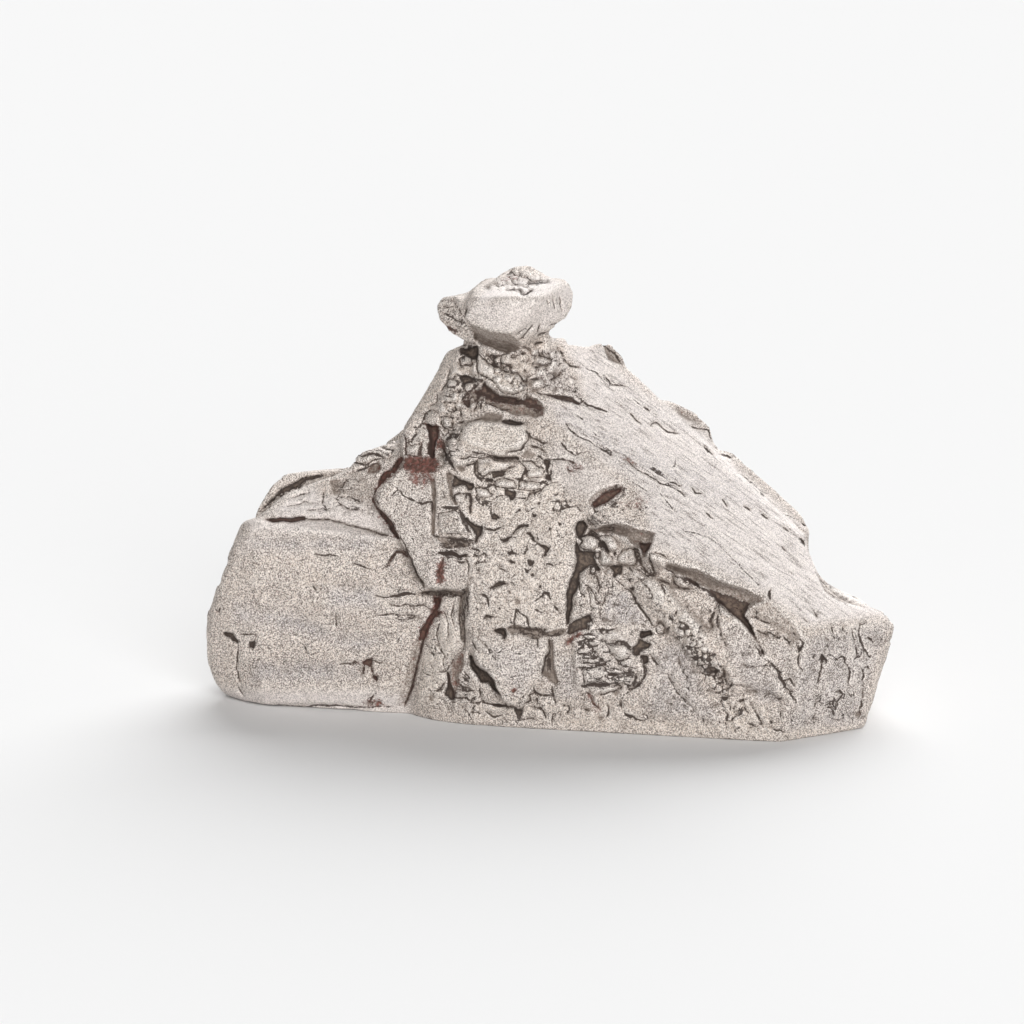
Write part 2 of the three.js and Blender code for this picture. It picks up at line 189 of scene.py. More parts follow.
class Relief:
    """The front's relief on a fine grid across the front view. Everything is in millimetres.

    lift and sunk are heights. line and half are the distance to the nearest crack, with its side as its
    sign, and that crack's half width. dim and dark are depths inside the edges of dim and dark hollows,
    and shade is how dim. The rest go from 0 to 1.
    """

    LEFT, RIGHT, LOW, HIGH = -46.0, 54.0, -34.0, 36.0
    STEP = 0.1
    WANDER = 0.3  # the most that natural lines stray from the lines they are drawn on
    DARK = 0.7  # hollows with more shade than this are dark, and the others dim
    WIDE = 0.45  # a crack wider than this is also a dark hollow
    BESIDE = 0.55  # how near a crack a point is when it takes that crack's width
    OUTSIDE = 0.5  # how far outside a dim hollow a point is when it still takes its shade
    START = {
        "lift": 0.0, "sunk": 0.0, "line": FAR, "half": NO_LINE, "dim": -FAR, "dark": -FAR, "shade": 0.0,
        "rust": 0.0, "soft": 0.0, "smooth": 0.0, "grey": 0.0, "cream": 0.0, "pale": 0.0,
    }

    def __init__(self, seed):
        self.seed = seed
        columns = np.arange(self.LEFT, self.RIGHT, self.STEP)
        rows = np.arange(self.LOW, self.HIGH, self.STEP)
        x, y = np.meshgrid(columns, rows)
        self.plain_across, self.plain_up = x, y
        self.across = x + 0.11 * soft_noise(x, y, 1.5, seed) + 0.09 * soft_noise(x, y, 0.55, seed + 1)
        self.up = y + 0.11 * soft_noise(x, y, 1.5, seed + 2) + 0.09 * soft_noise(x, y, 0.55, seed + 3)
        for name, value in self.START.items():
            setattr(self, name, np.full(x.shape, value))

    def patch(self, points, margin):
        """The part of the grid around some points, with room around them."""
        low = np.min(points, axis=0) - margin - self.WANDER
        high = np.max(points, axis=0) + margin + self.WANDER
        columns = np.clip(((low[0], high[0]) - np.array(self.LEFT)) / self.STEP, 0, self.lift.shape[1])
        rows = np.clip(((low[1], high[1]) - np.array(self.LOW)) / self.STEP, 0, self.lift.shape[0])
        return np.s_[int(rows[0]) : int(rows[1]) + 1, int(columns[0]) : int(columns[1]) + 1]

    def area(self, text, margin):
        """The part of the grid around an outline, and how deep each of its points lies inside it."""
        corners = outline(text)
        at = self.patch(corners, margin)
        return at, depth_inside(self.across[at], self.up[at], corners)

    def raise_to(self, name, at, values):
        """Raises a layer to some values where they are higher than it is."""
        layer = getattr(self, name)
        layer[at] = np.maximum(layer[at], values)

    def draw(self, at, gap, half):
        """Draws a crack from the signed distance to it and its half width."""
        closer = np.abs(gap) < np.abs(self.line[at])
        self.half[at] = np.where(closer & (np.abs(gap) < self.BESIDE), half, self.half[at])
        self.line[at] = np.where(closer, gap, self.line[at])

    def darken(self, at, inside, shade):
        """Marks a hollow as dark, or only as dim where its shade is low."""
        if shade > self.DARK:
            self.raise_to("dark", at, inside)
            return
        nearer = (inside > self.dim[at]) & (inside > -self.OUTSIDE)
        self.shade[at] = np.where(nearer, shade, self.shade[at])
        self.raise_to("dim", at, inside)

    def crack(self, text, width=0.25, depth=0.4, rust=0.0):
        """A crack along a line, widest in its middle."""
        points = outline(text)
        at = self.patch(points, width + 1.0)
        gap, place, side = distance_to_line(self.across[at], self.up[at], points)
        ends = 0.4 + 0.6 * np.sqrt(np.clip(5.0 * place * (1.0 - place), 0.0, 1.0))
        ragged = 1.0 + 0.55 * soft_noise(self.across[at], self.up[at], 0.6, self.seed + 7)
        half = width * 0.5 * ends * ragged
        open_half = np.maximum(half, 0.2)
        self.raise_to("sunk", at, depth * smoothstep(open_half + 0.12, open_half * 0.3, gap))
        self.draw(at, gap * side, half)
        if width > self.WIDE:
            self.darken(at, half - gap, 1.0)
        if rust:
            self.raise_to("rust", at, rust * smoothstep(width + 0.7, 0.0, gap))

    def cracks(self, width, *lines, depth=0.4, rust=0.0):
        """Cracks of one width."""
        for text in lines:
            self.crack(text, width, depth, rust)

    def hollow(self, text, depth=0.7, shade=0.9, edge=0.15, rust=0.0):
        """A sunk area whose sides slope over the edge's width."""
        at, inside = self.area(text, 1.2)
        self.raise_to("sunk", at, depth * smoothstep(-0.1, edge, inside))
        self.darken(at, inside, shade)
        if rust:
            self.raise_to("rust", at, rust * smoothstep(-0.7, 0.3, inside))

    def hollows(self, depth, shade, *outlines, edge=0.15, rust=0.0):
        """Hollows of one depth and shade."""
        for text in outlines:
            self.hollow(text, depth, shade, edge, rust)

    def spots(self, radius, depth, text, rust=0.0):
        """Small round pits."""
        for across, up in outline(text):
            turns = np.linspace(0.0, 2.0 * math.pi, 7)[:-1]
            ring = np.stack([across + radius * np.cos(turns), up + radius * np.sin(turns)], axis=1)
            self.hollow(ring, depth, 0.9, 0.1, rust)

    def nugget(self, text, lift=0.3, edge=0.3, seam=0.2, depth=0.4):
        """A raised piece with a dark seam around it."""
        at, inside = self.area(text, 1.2)
        self.lift[at] += lift * smoothstep(-0.05, edge, inside)
        if seam:
            broken = soft_noise(self.across[at], self.up[at], 1.6, self.seed + 9)
            half = 0.5 * seam * (0.8 + 0.7 * broken)
            self.raise_to("sunk", at, depth * smoothstep(0.3, 0.08, np.abs(inside)))
            self.draw(at, inside, half)

    def nuggets(self, lift, seam, *outlines, edge=0.3, depth=0.4):
        """Raised pieces of one height and seam."""
        for text in outlines:
            self.nugget(text, lift, edge, seam, depth)

    def swell(self, lift, edge, *outlines):
        """Broad soft rises, or dips where lift is negative."""
        for text in outlines:
            at, inside = self.area(text, edge)
            self.lift[at] += lift * smoothstep(-edge, edge, inside)

    def lean(self, text, edge_text, rate=0.8, shade=0.3):
        """A facet that leans back from an edge, as far below that edge as its rate says. Where a shade is
        given it is also painted dim: painted shade on a face turned from the light.
        """
        at, inside = self.area(text, 1.0)
        back = distance_to_line(self.across[at], self.up[at], outline(edge_text))[0]
        self.raise_to("sunk", at, rate * back * smoothstep(-0.05, 0.15, inside))
        if shade:
            self.darken(at, inside, shade)

    def fibres(self, text, guide, spacing=0.5, depth=0.18, width=0.12, seed=0):
        """Thin layers that follow a guide line, with fine broken seams between them."""
        at, inside = self.area(text, 0.6)
        x, y = self.across[at], self.up[at]
        wave = 0.3 * spacing * soft_noise(x, y, 1.7, self.seed + seed)
        level = (distance_to_line(x, y, outline(guide))[0] + wave) / spacing
        off = (level - np.floor(level) - 0.5) * spacing
        broken = soft_noise(x, y, 1.1, self.seed + seed + 1)
        share = smoothstep(-0.2, 0.3, inside) * smoothstep(-0.5, 0.3, broken)
        self.raise_to("sunk", at, share * depth * smoothstep(spacing * 0.45, 0.05, np.abs(off)))
        self.draw(at, np.where(inside > 0.0, off, FAR), 0.5 * width * share - 0.1 * (1.0 - share))

    def rubble(self, text, size=1.2, lift=0.5, seam=0.16, depth=0.4, seed=0):
        """Small blocky plates of uneven height with seams between them."""
        at, inside = self.area(text, 0.8)
        x, y = self.across[at], self.up[at]
        share = smoothstep(-0.4, 0.5, inside)
        plate, edge = cell_noise(x, y, size, self.seed + seed)
        broken = soft_noise(x, y, 1.9, self.seed + seed + 1)
        half = 0.5 * seam * (0.7 + 0.9 * broken) * share
        self.lift[at] += share * lift * (plate - 0.5 + 0.4 * smoothstep(0.0, 0.35, edge))
        cut = share * depth * smoothstep(-0.6, 0.3, broken) * smoothstep(0.3, 0.05, edge)
        self.raise_to("sunk", at, cut)
        self.draw(at, np.where(plate > 0.5, edge, -edge), np.where(half > 0.02, half, NO_LINE))

    def flakes(self, text, count=40, size=0.5, depth=0.25, shade=0.45, dark=0.25, seed=0):
        """Small flat-bottomed chips, some of them dark."""
        corners = outline(text)
        rng = np.random.default_rng(self.seed + seed)
        for centre in rng.uniform(corners.min(0), corners.max(0), (count, 2)):
            turns = np.sort(rng.uniform(0.0, 2.0 * math.pi, 5))
            reach = size * rng.uniform(0.4, 1.3) * rng.uniform(0.5, 1.0, 5)
            ring = np.stack([reach * 1.3 * np.cos(turns), reach * 0.7 * np.sin(turns)], axis=1)
            tone = 0.95 if rng.random() < dark else shade
            if depth_inside(centre[:1], centre[1:], corners)[0] > 0.1:
                self.hollow(centre + ring, depth * rng.uniform(0.6, 1.6), tone, 0.1)

    def chips(self, text, count=40, width=0.16, length=1.0, depth=0.25, seed=0):
        """Short fine cracks that run level, upright or slanting, as the metal's own plates let it split."""
        corners = outline(text)
        rng = np.random.default_rng(self.seed + seed)
        low, high = corners.min(0), corners.max(0)
        for _ in range(count):
            start = rng.uniform(low, high)
            turn = rng.choice([0.0, 0.0, 90.0, 90.0, 45.0, -45.0]) + rng.normal(0.0, 14.0)
            line = [start]
            for _ in range(int(rng.integers(1, 4))):
                way = math.radians(turn)
                reach = length * rng.uniform(0.2, 0.7)
                line.append(line[-1] + reach * np.array([math.cos(way), math.sin(way)]))
                turn += rng.choice([-80.0, -40.0, 0.0, 40.0, 80.0]) * rng.uniform(0.5, 1.0)
            thick = width * rng.uniform(0.35, 1.0)
            if depth_inside(start[:1], start[1:], corners)[0] > 0.2:
                self.crack(line, thick, depth * rng.uniform(0.6, 1.4))

    def streaks(self, text, slope=-0.75, length=2.2, width=0.35, depth=0.12, cover=0.35, seed=0):
        """Short fine grooves that all run one way."""
        corners = outline(text)
        at = self.patch(corners, 1.0)
        x, y = self.plain_across[at], self.plain_up[at]
        share = smoothstep(-0.5, 1.0, depth_inside(x, y, corners))
        turn = math.atan(slope)
        along = x * math.cos(turn) + y * math.sin(turn)
        over = y * math.cos(turn) - x * math.sin(turn) + 0.5 * soft_noise(x, y, 6.0, self.seed + seed + 5)
        groove = soft_noise(along * width / length, over, width, self.seed + seed)
        cut = share * depth * smoothstep(1.0 - cover * 1.6, 1.0 - cover * 0.6, groove)
        self.raise_to("sunk", at, cut)

    def stain(self, text, radius=1.0, strength=1.0):
        """A rust stain along a line, with a ragged edge."""
        line = outline(text)
        line = line if len(line) > 1 else np.repeat(line, 2, axis=0)
        at = self.patch(line, radius + 1.0)
        gap = distance_to_line(self.across[at], self.up[at], line)[0]
        ragged = gap + 0.45 * radius * cloudy_noise(self.across[at], self.up[at], 1.1, self.seed + 31)
        self.raise_to("rust", at, strength * smoothstep(radius, radius * 0.2, ragged))

    def mark(self, name, amount, edge, *outlines):
        """Raises a layer, such as soft or grey, over some areas with soft edges."""
        for text in outlines:
            at, inside = self.area(text, edge)
            self.raise_to(name, at, amount * smoothstep(-edge, edge, inside))

    def height(self):
        """The height of the relief above the plain solid, with its sharpest steps eased."""
        total = self.lift - self.sunk
        for axis in (0, 1):
            total = (np.roll(total, 1, axis) + 2.0 * total + np.roll(total, -1, axis)) / 4.0
        return total


# ---- What lies where on the front ----


def cut_left_block(face):
    """The smooth block on the left, with soft edges, a few cracks and level layers."""
    block = "-40 -24, -40 -10, -36 -0.5, -15 -2.5, -11.5 -11, -14 -26"
    face.mark("soft", 1.0, 2.0, "-46 -30, -46 -2, -34 -1, -22 -4, -19 -22, -20 -30")
    face.mark("smooth", 0.75, 1.5, block)
    # painted light: the band that turns under at the foot is painted paler for light bounced up from the
    # floor; the cream adds a warm tone
    face.mark("pale", 1.0, 1.2, "-42 -26, -39 -23, -20 -23, -13 -23.4, -13 -27, -30 -28")
    face.mark("cream", 0.9, 1.2, "-42 -26, -39 -22.6, -30 -22.4, -19 -22.6, -13 -23, -13 -27, -30 -28")
    # painted highlight: the pale band along the block's rounded top edge, where the light from above falls
    face.mark("pale", 0.9, 0.8, "-34.6 -1, -34 -2.6, -26 -2.4, -18 -3.4, -15.5 -3.4, -20 -2, -26 -1")
    face.mark(
        "grey", 0.9, 1.2, "-35 -3.2, -18 -3.2, -18 -5, -35 -5", "-33 -19.5, -20 -19.8, -20 -21.8, -34 -22",
    )
    face.mark(
        "grey", 1.0, 1.2, "-24 -10, -18 -10, -17 -12.6, -24 -12.4",
        "-36 -12, -30 -12.8, -23 -15.6, -17 -16.6, -20 -18, -28 -15.6, -36 -14",
    )
    face.swell(
        0.4, 1.6, "-34 -6, -20 -6, -18 -9, -34 -9.5",
        "-36 -8, -30 -8.6, -22 -11.4, -18 -13.6, -21 -14, -30 -11, -36 -10",
    )
    face.swell(
        -0.45, 1.2, "-34 -3.4, -18 -3.6, -18 -4.6, -34 -4.6", "-35 -20, -18 -20, -18 -22, -35 -22",
        "-36 -12, -30 -12.8, -23 -15.6, -17 -16.6, -20 -18, -28 -15.6, -36 -14",
    )
    face.streaks(block, slope=0.03, length=2.6, width=0.5, depth=0.1, cover=0.42, seed=11)
    face.cracks(0.3, "-25.6 -5.5, -24.4 -5.8, -23.9 -5.6, -23 -5.7")
    face.cracks(
        0.18, "-20.8 -6.6, -19.8 -6.9, -18.4 -7.4", "-35.7 -17, -35.8 -20.6, -35.4 -22",
        "-35.6 -22.8, -35 -23.7", "-35.5 -15.9, -34 -15.8, -33.2 -16", "-33.2 -16.2, -33.5 -16.8",
        "-22.3 -19.8, -21.4 -19.7, -20.8 -19.9", "-18 -19.4, -17.2 -19.7, -16.8 -19.6",
        "-27 -17.6, -26.7 -18.2", "-37.9 -12.5, -38.2 -13.1", "-22.9 -13.4, -22.8 -14.8",
        "-25.8 -9.6, -25.4 -10.1",
    )
    face.hollows(
        0.6, 0.95,
        "-37.5 -15.5, -36.2 -15.6, -35.9 -16.4, -35.4 -17, -35.9 -17.1, -36.6 -16.5, -37.6 -16.1",
        "-34 -16.8, -33.4 -16.7, -33.2 -17.2, -33.6 -17.8, -34.2 -17.6",
    )
    face.hollows(
        0.8, 0.95, "-19.5 -19.6, -18.9 -19.2, -18 -19, -18 -19.9, -18.3 -20.3, -18.8 -20, -19.4 -20.1",
        "-18.3 -20.2, -18 -20.2, -18 -21.3, -17.3 -21.4, -17.5 -22.1, -18.1 -21.7", rust=0.4,
    )
    face.cracks(0.3, "-20.9 -19.9, -20.6 -19.5, -20 -19.7", "-19.2 -20.2, -19.3 -20.9", rust=0.3)
    face.spots(0.18, 0.3, "-20.8 -13.3, -38.3 -12.9")
    face.hollow(
        "-19.4 -24.9, -18.4 -24.4, -17.2 -24.5, -16.8 -25, -17.4 -25.5, -18.6 -25.2", 0.4, 0.6, rust=0.6,
    )
    face.cracks(
        0.25, "-30.5 -25.2, -28 -25.4, -25 -25.2, -20 -25.4, -16 -25.3", "-18.5 -24.6, -18.1 -24", rust=0.2,
    )
    face.cracks(
        0.16, "-17.8 -10.9, -16.1 -11.1, -15.7 -10.8, -14.1 -10.6, -12.3 -10.6, -11.5 -10.8",
        "-15.9 -11.8, -15.6 -12.1, -14.5 -12.2, -13.6 -12, -13 -12.3, -11.5 -12.1, -10.5 -12.7",
        "-17.6 -13.4, -15.5 -13.2, -12.4 -13.6", "-15.2 -13.8, -14 -14, -12.6 -13.8",
    )
    face.mark("cream", 0.5, 1.0, "-18 -10, -15 -10, -15 -11.6, -18 -11.6")
    face.hollow("-15.9 -5.9, -15.4 -5.4, -15 -5.6, -15.8 -6.6", 0.5, 0.95)
    face.hollow("-15 -5, -13.7 -4.9, -13.2 -6, -13.8 -5.9, -14.3 -5.5", 0.5, 0.7)
    face.cracks(0.15, "-15.8 -6.6, -16.5 -7.2")
    face.flakes(block, count=46, size=0.3, depth=0.15, shade=0.4, dark=0.1, seed=12)
    face.chips(block, count=26, width=0.12, length=0.7, depth=0.12, seed=13)


def cut_left_ledge(face):
    """The set-back facet above the block, the thin plate behind it and the knob at its right."""
    facet = "-32.4 -0.3, -29.5 2, -25 4.2, -21 5, -17.5 2.6, -16 -1.5, -25 -0.8"
    face.mark("pale", 1.0, 1.0, "-32 -0.3, -29.4 1.8, -25.6 3.4, -24.6 2, -24 0.2, -27 -0.4")
    face.mark("pale", 0.8, 0.8, "-30 1, -24 2, -18 1, -15.6 -3, -32 -2.6")
    face.mark("cream", 0.7, 0.8, "-32.5 1, -30 3.4, -25 6, -24 5.4, -28 4, -31.5 1.4")
    face.hollow(
        "-32.9 -0.1, -30.7 2.3, -28.8 3.8, -26.6 4.6, -24.2 4.9, -24.8 4.4, -26.8 4, -27.7 2.9, -28.5 3, "
        "-31.7 0.7", 0.6, 0.9,
    )
    face.hollow("-32.4 -0.8, -27 -0.6, -26.8 -1.2, -31.2 -1.3", 0.7, 0.9, rust=0.3)
    face.cracks(0.2, "-27 -0.9, -24 -1.1, -20.5 -1.8, -15.6 -3.2")
    face.hollow("-23.6 4.2, -22.6 4.3, -21.3 3.7, -22.4 2.2, -23.2 2, -23.4 2.8", 0.6, 0.6, rust=0.1)
    face.cracks(
        0.25, "-21.3 2, -20.5 1.6, -19.9 1.4", "-21 5.1, -17.6 6.4", "-22.6 1.2, -21.4 0.5, -19.6 0.2",
        "-24.4 2.6, -24.6 1.2, -24.2 0.4",
    )
    face.hollow("-18.6 6, -17.4 6.6, -16.9 5.8, -17.5 5, -18.8 5", 0.9, 0.65, rust=0.3)
    face.cracks(0.14, "-29 0.8, -27 1.3, -25 1.1", "-28.4 2, -26.4 2.4", "-26.4 0.2, -23.6 0.4")
    face.rubble("-24 0.4, -22.6 4, -20 4.8, -18 2.6, -18 -0.8, -22 -0.6", size=1.0, lift=0.35, seed=21)
    face.hollow("-23.8 3.6, -22 4.4, -19.6 5, -17.4 3, -17.8 0, -21.6 1.6", 0.2, 0.35, 0.6)
    face.flakes(facet, count=60, size=0.28, depth=0.15, dark=0.2, seed=22)
    face.flakes(
        "-24 3, -20 5, -17.6 2.6, -17.4 -1, -23 -0.6", count=50, size=0.3, depth=0.2, dark=0.3, seed=23,
    )
    face.cracks(0.3, "-19.6 7.2, -18.2 7.6, -16.6 7.2")
    face.nuggets(0.25, 0.2, "-20.8 6.6, -19.6 8, -17.4 8.6, -15.4 7.9, -15.8 7, -17.6 6.9, -19.2 6.2")
    face.flakes("-21 6, -19.5 8.2, -15 8.2, -14.6 7, -18 6.6", count=30, size=0.3, depth=0.2, seed=24)


def cut_tongue(face):
    """The raised tongue, the stump above it and the rusty slot beside the stump."""
    face.swell(
        0.35, 0.7,
        "-17.4 3, -17.8 2.2, -17.6 1.4, -16.2 0, -14.6 -2.4, -11.3 -9.8, -6.6 -9.8, -6.2 -6, -10.4 -3, "
        "-10.6 4.4, -12.4 4.4, -15 5.4",
    )
    face.hollow(
        "-18 2, -17.7 1, -15.4 -1.6, -14.4 -3.6, -14.9 -3.5, -15.6 -2.6, -17.9 0.8, -18.2 1.6", 0.7, 0.75,
        rust=0.4,
    )
    face.cracks(0.3, "-17.5 3.1, -17.9 2.3, -17.9 1.6, -17.4 1.1", rust=0.3)
    face.cracks(0.26, "-14.4 -3.3, -12.2 -8.3, -11.3 -9.9")
    face.cracks(0.32, "-16.2 -7, -15.7 -5.9, -15 -5.3, -14.2 -5.3, -13.6 -5.8", rust=0.3)
    face.hollow("-15.2 -3.6, -14.4 -3.4, -11.4 -9.8, -12.6 -9, -13.8 -6.6", 0.2, 0.4, 0.5)
    face.hollow(
        "-14.4 7.2, -15.2 6.4, -15.6 5.6, -16.7 5, -17.2 4.2, -17.5 3.1, -15.2 5.2, -14 7", 0.8, 0.95,
        rust=0.7,
    )
    face.cracks(0.22, "-15.4 3.4, -14.2 2.1, -12.2 1.1", "-15 2.8, -15.8 2.1", depth=0.2)
    face.cracks(0.4, "-12.4 1.2, -11.6 1, -10.6 1.3", "-10.5 1.3, -10.4 0.2")
    face.hollow("-10.6 4.4, -10.1 4.4, -9.9 2, -10.1 -3, -10.4 -3, -10.4 3", 0.7, 0.65)
    face.cracks(
        0.2, "-13 11, -12.1 11.1, -11.4 11.5, -11.3 12", "-12.5 10.7, -12.4 10.2, -13 9.5, -13.1 8.9",
    )
    face.cracks(0.3, "-13.9 9.8, -13.7 9.2, -13.7 7.6", "-11.8 9, -11.9 8.6, -11.8 7.3", rust=0.3)
    face.crack("-10.8 11.4, -10.5 9.4, -10.4 7.2", 0.95, 0.6, 0.4)
    face.hollow(
        "-11.4 11.6, -10.2 11.2, -9.5 11.2, -9.5 9.7, -10 9.1, -10.2 7.1, -10.7 7.2, -10.6 8.2, "
        "-10.8 10.2, -11.1 11.2", 1.3, 0.95, rust=0.6,
    )
    face.hollow("-9.7 9.5, -8.9 9.1, -8.9 8.3, -9.8 8.2", 0.3, 0.4, rust=0.9)
    face.hollow(
        "-13.9 6.8, -13.3 7.2, -12.3 7, -10.6 7.1, -9.7 5.5, -11.5 5, -12.9 5.1, -13.7 5.6", 0.5, 0.4, 0.5,
        rust=1.0,
    )
    face.stain("-13.4 6.2, -12 6.4, -10.2 6.2", 1.4, 1.0)
    face.stain("-12.8 4.6, -11.8 4, -10.8 4.6", 1.2, 0.7)
    face.stain("-14.4 6.4, -16.4 4.6", 0.8, 0.6)
    face.stain("-17 -0.5, -16.5 -1.5", 0.7, 0.5)
    face.stain("-9.1 -6.8, -9.4 -7.8, -9.2 -9", 1.0, 1.0)
    face.crack("-9.2 -7, -9.5 -7.9, -9.2 -8.8", 0.2, rust=1.0)
    face.nuggets(
        0.2, 0.2, "-12.2 6.9, -11.9 6.1, -11.6 6.5, -11.6 7.1",
        "-13.6 8.6, -13.6 7.4, -12.1 7.3, -12.1 8.8",
    )
    face.hollow("-10 -3.1, -7.5 -3.2, -4.9 -3.9, -5.5 -4.3, -7 -4.6, -8.9 -4.6, -9.1 -4.2", 0.5, 0.68)
    face.cracks(0.36, "-10.2 -3, -5.3 -4.1", "-9.2 -4.4, -8.2 -4.6, -6 -4.4")
    face.crack("-9.5 -5.3, -7.5 -5.4, -6.8 -5.8, -5.8 -5.6", 0.5, 0.6)
    face.nugget("-7 -4.9, -6.2 -4.7, -5.6 -5, -5.8 -5.5, -6.7 -5.5", 0.35, 0.2, 0.0)
    face.fibres("-10 -3, -6 -3.2, -5 -4, -7 -4.8, -9.6 -4.7", "-10 -2, -4 -2.6", 0.35, seed=31)
    face.cracks(
        0.25, "-7.2 -3.4, -5 -3.7", "-9 -5.8, -9 -6.6", "-6 -5.8, -5.6 -7, -5.8 -8",
        "-7.4 -6.2, -6.4 -6.6, -6 -6.4",
    )
    face.hollow(
        "-12.3 -10.5, -11.2 -10.2, -6.5 -10.4, -5.8 -9.7, -5.8 -10.6, -6.6 -10.8, -10.5 -10.8", 0.8, 0.6,
    )
    face.cracks(0.3, "-15.9 -11, -10.6 -10.4", "-9.8 -10.8, -8 -11, -6.6 -10.8, -6 -10")
    face.fibres(
        "-12.4 -10.2, -5.8 -9.8, -5.8 -11, -10 -11.3, -12.4 -11.2", "-12 -10.5, -5.8 -10.6", 0.25, 0.15,
        seed=35,
    )
    tongue = "-16.5 1, -13.8 5, -10.6 5, -10.4 -3.5, -6.4 -6, -6.4 -9, -11.5 -9"
    face.mark("grey", 0.35, 1.0, tongue)
    face.flakes(tongue, count=80, size=0.28, depth=0.2, dark=0.3, seed=32)
    face.chips(tongue, count=30, width=0.12, length=0.7, depth=0.15, seed=33)
    face.flakes("-13.8 11, -13.6 7.6, -10.6 7.4, -10.8 11.4", count=24, size=0.26, depth=0.2, seed=34)


def cut_inner_plate(face):
    """The small plate between the tongue and the column, with wedge cracks around it."""
    face.hollow(
        "-6.5 -0.8, -5.9 -0.8, -5 -1.6, -3.8 -2, -3.9 -3, -4.9 -4.2, -4.9 -3.4, -4.6 -3, -5.5 -2", 1.0, 1.0,
    )
    face.cracks(0.36, "-9.1 0.5, -7.2 0.5, -6.2 -0.7", "-6.4 -1.1, -5.6 -2.4", "-6.6 -0.9, -5.4 -2.7")
    face.cracks(0.3, "-3.5 -2.3, -2.4 -2.4, -1.6 -2")
    face.cracks(0.35, "-8.5 9.2, -8.9 8.3, -8.6 7.4, -7.3 5.2", "-7.9 10.1, -8.5 9.3")
    face.hollow("-8.6 5.2, -7.6 4.9, -7.8 3.5, -7 0.8, -7.4 0.8, -8 2, -8.3 3.6", 0.8, 0.65)
    face.nuggets(0.3, 0.15, "-9.6 -0.2, -7.6 0.2, -6.2 -1, -5.2 -3, -9.6 -2.8")
    face.flakes("-9.6 5, -8 5, -7 0.4, -5.4 -3, -9.8 -3", count=36, size=0.28, depth=0.2, seed=41)
    face.chips("-9.8 5, -8 5, -7 0.4, -5.4 -3, -9.8 -3", count=16, length=0.8, seed=42)
    face.mark("cream", 0.4, 0.6, "-9.8 4.6, -8.6 4.6, -8.2 0.8, -9.8 0.8")


def cut_lower_wedge(face):
    """The rusty groove and the ridge at the lower left of the column."""
    face.hollow(
        "-10.2 -11, -9.1 -11.1, -9.7 -13, -8.9 -13.1, -10.2 -14, -11 -15.5, -11.3 -16.6, -12.3 -16.6, "
        "-12 -15.5, -10.2 -12.8, -10 -12.1", 0.9, 0.95, rust=0.7,
    )
    face.stain("-10 -12.4, -10.6 -14, -11.3 -15.6", 0.9, 0.8)
    face.crack("-11.6 -16.4, -11.9 -18.6, -13.8 -25.1", 0.3, 0.8, 0.3)
    face.hollow("-11.4 -16, -12 -19, -13.8 -25.2, -15 -25.2, -12.4 -16", 0.35, 0.4, 0.5, rust=0.2)
    face.hollow(
        "-5.5 -8, -5.1 -8.6, -6.1 -11.5, -6.1 -17, -6.4 -18, -7.4 -12.6, -6.9 -10.6, -5.8 -9.8, -5.8 -9",
        0.6, 0.36, 0.5,
    )
    face.cracks(0.2, "-6.7 -11.6, -6.9 -14, -6.6 -16.8", "-5.9 -11.2, -5.8 -13.4")
    face.cracks(0.16, "-6.2 -11.4, -6.3 -17.6")
    face.cracks(0.2, "-6.3 -17.9, -7.1 -18.5, -8.5 -20.6, -8.2 -21.7, -8.3 -23.3")
    face.hollow(
        "-8.4 -20.6, -8.1 -20.9, -7.9 -22.2, -7.3 -23.4, -7.2 -24.3, -7.8 -24.6, -8.7 -23.6, -8.3 -22.2",
        1.0, 1.0,
    )
    face.hollow("-10.2 -23.4, -10.8 -23.8, -11 -24.5, -10.2 -24.6", 0.4, 0.5)
    face.hollow(
        "-7.9 -19.5, -6.3 -18, -6.1 -20, -6.8 -21, -7 -23, -7.3 -23.8, -7.9 -22", 0.7, 0.62, 0.4, rust=0.4,
    )
    face.stain("-6.6 -18.6, -7.2 -20.2", 0.7, 0.5)
    face.cracks(
        0.25, "-10 -23.2, -9.2 -23.1, -8.7 -22.1", "-7.3 -24.1, -6.1 -24.2, -5.5 -24.5, -4.8 -24.1",
        "-7 -22.2, -6.3 -22.8, -5.4 -22.8", "-7.1 -23, -6.1 -23.3, -4.9 -23.2", "-9.4 -20.8, -8.6 -20.7",
        "-6.3 -20.9, -5.6 -21.6", "-6.6 -21.4, -5.7 -22.1",
    )
    face.cracks(
        0.2, "-11.4 -21, -10.6 -21.2", "-5.2 -26.3, -4.9 -25.2",
        "-5.7 -9.8, -5.8 -11, -6.7 -11.1, -6.9 -12.9", "-8.8 -13.2, -8.2 -14.6, -8.4 -16.4",
        "-9.6 -17.6, -8.8 -18.8, -8.9 -20", "-9.4 -14.6, -9.8 -16, -9.6 -17.2",
        "-7.6 -12, -7.9 -13.4, -7.5 -14.8",
    )
    wedge = "-9.2 -11.4, -7 -11.4, -6.8 -17, -8.6 -20, -8.8 -25, -13.4 -26, -12 -20, -10.4 -15"
    face.swell(0.4, 0.9, "-9.6 -13.6, -7.4 -13.4, -7.2 -17.6, -8.9 -20.4, -9.4 -25.4, -13 -25.4, -11.4 -19")
    face.mark(
        "cream", 0.8, 0.8,
        "-9.4 -13.6, -7.4 -13.4, -7.2 -17.6, -8.9 -20.4, -9.4 -25.4, -13 -25.4, -11.4 -19",
    )
    face.flakes(wedge, count=70, size=0.3, depth=0.2, dark=0.2, seed=51)
    face.chips(wedge, count=30, length=0.9, seed=52)
    face.flakes("-8 -21, -5.6 -20, -5 -26.4, -9 -26.6", count=40, size=0.3, depth=0.2, seed=53)
    face.chips("-9 -24.6, -4 -24.6, -4 -27, -9 -26.6", count=14, length=0.7, seed=54)


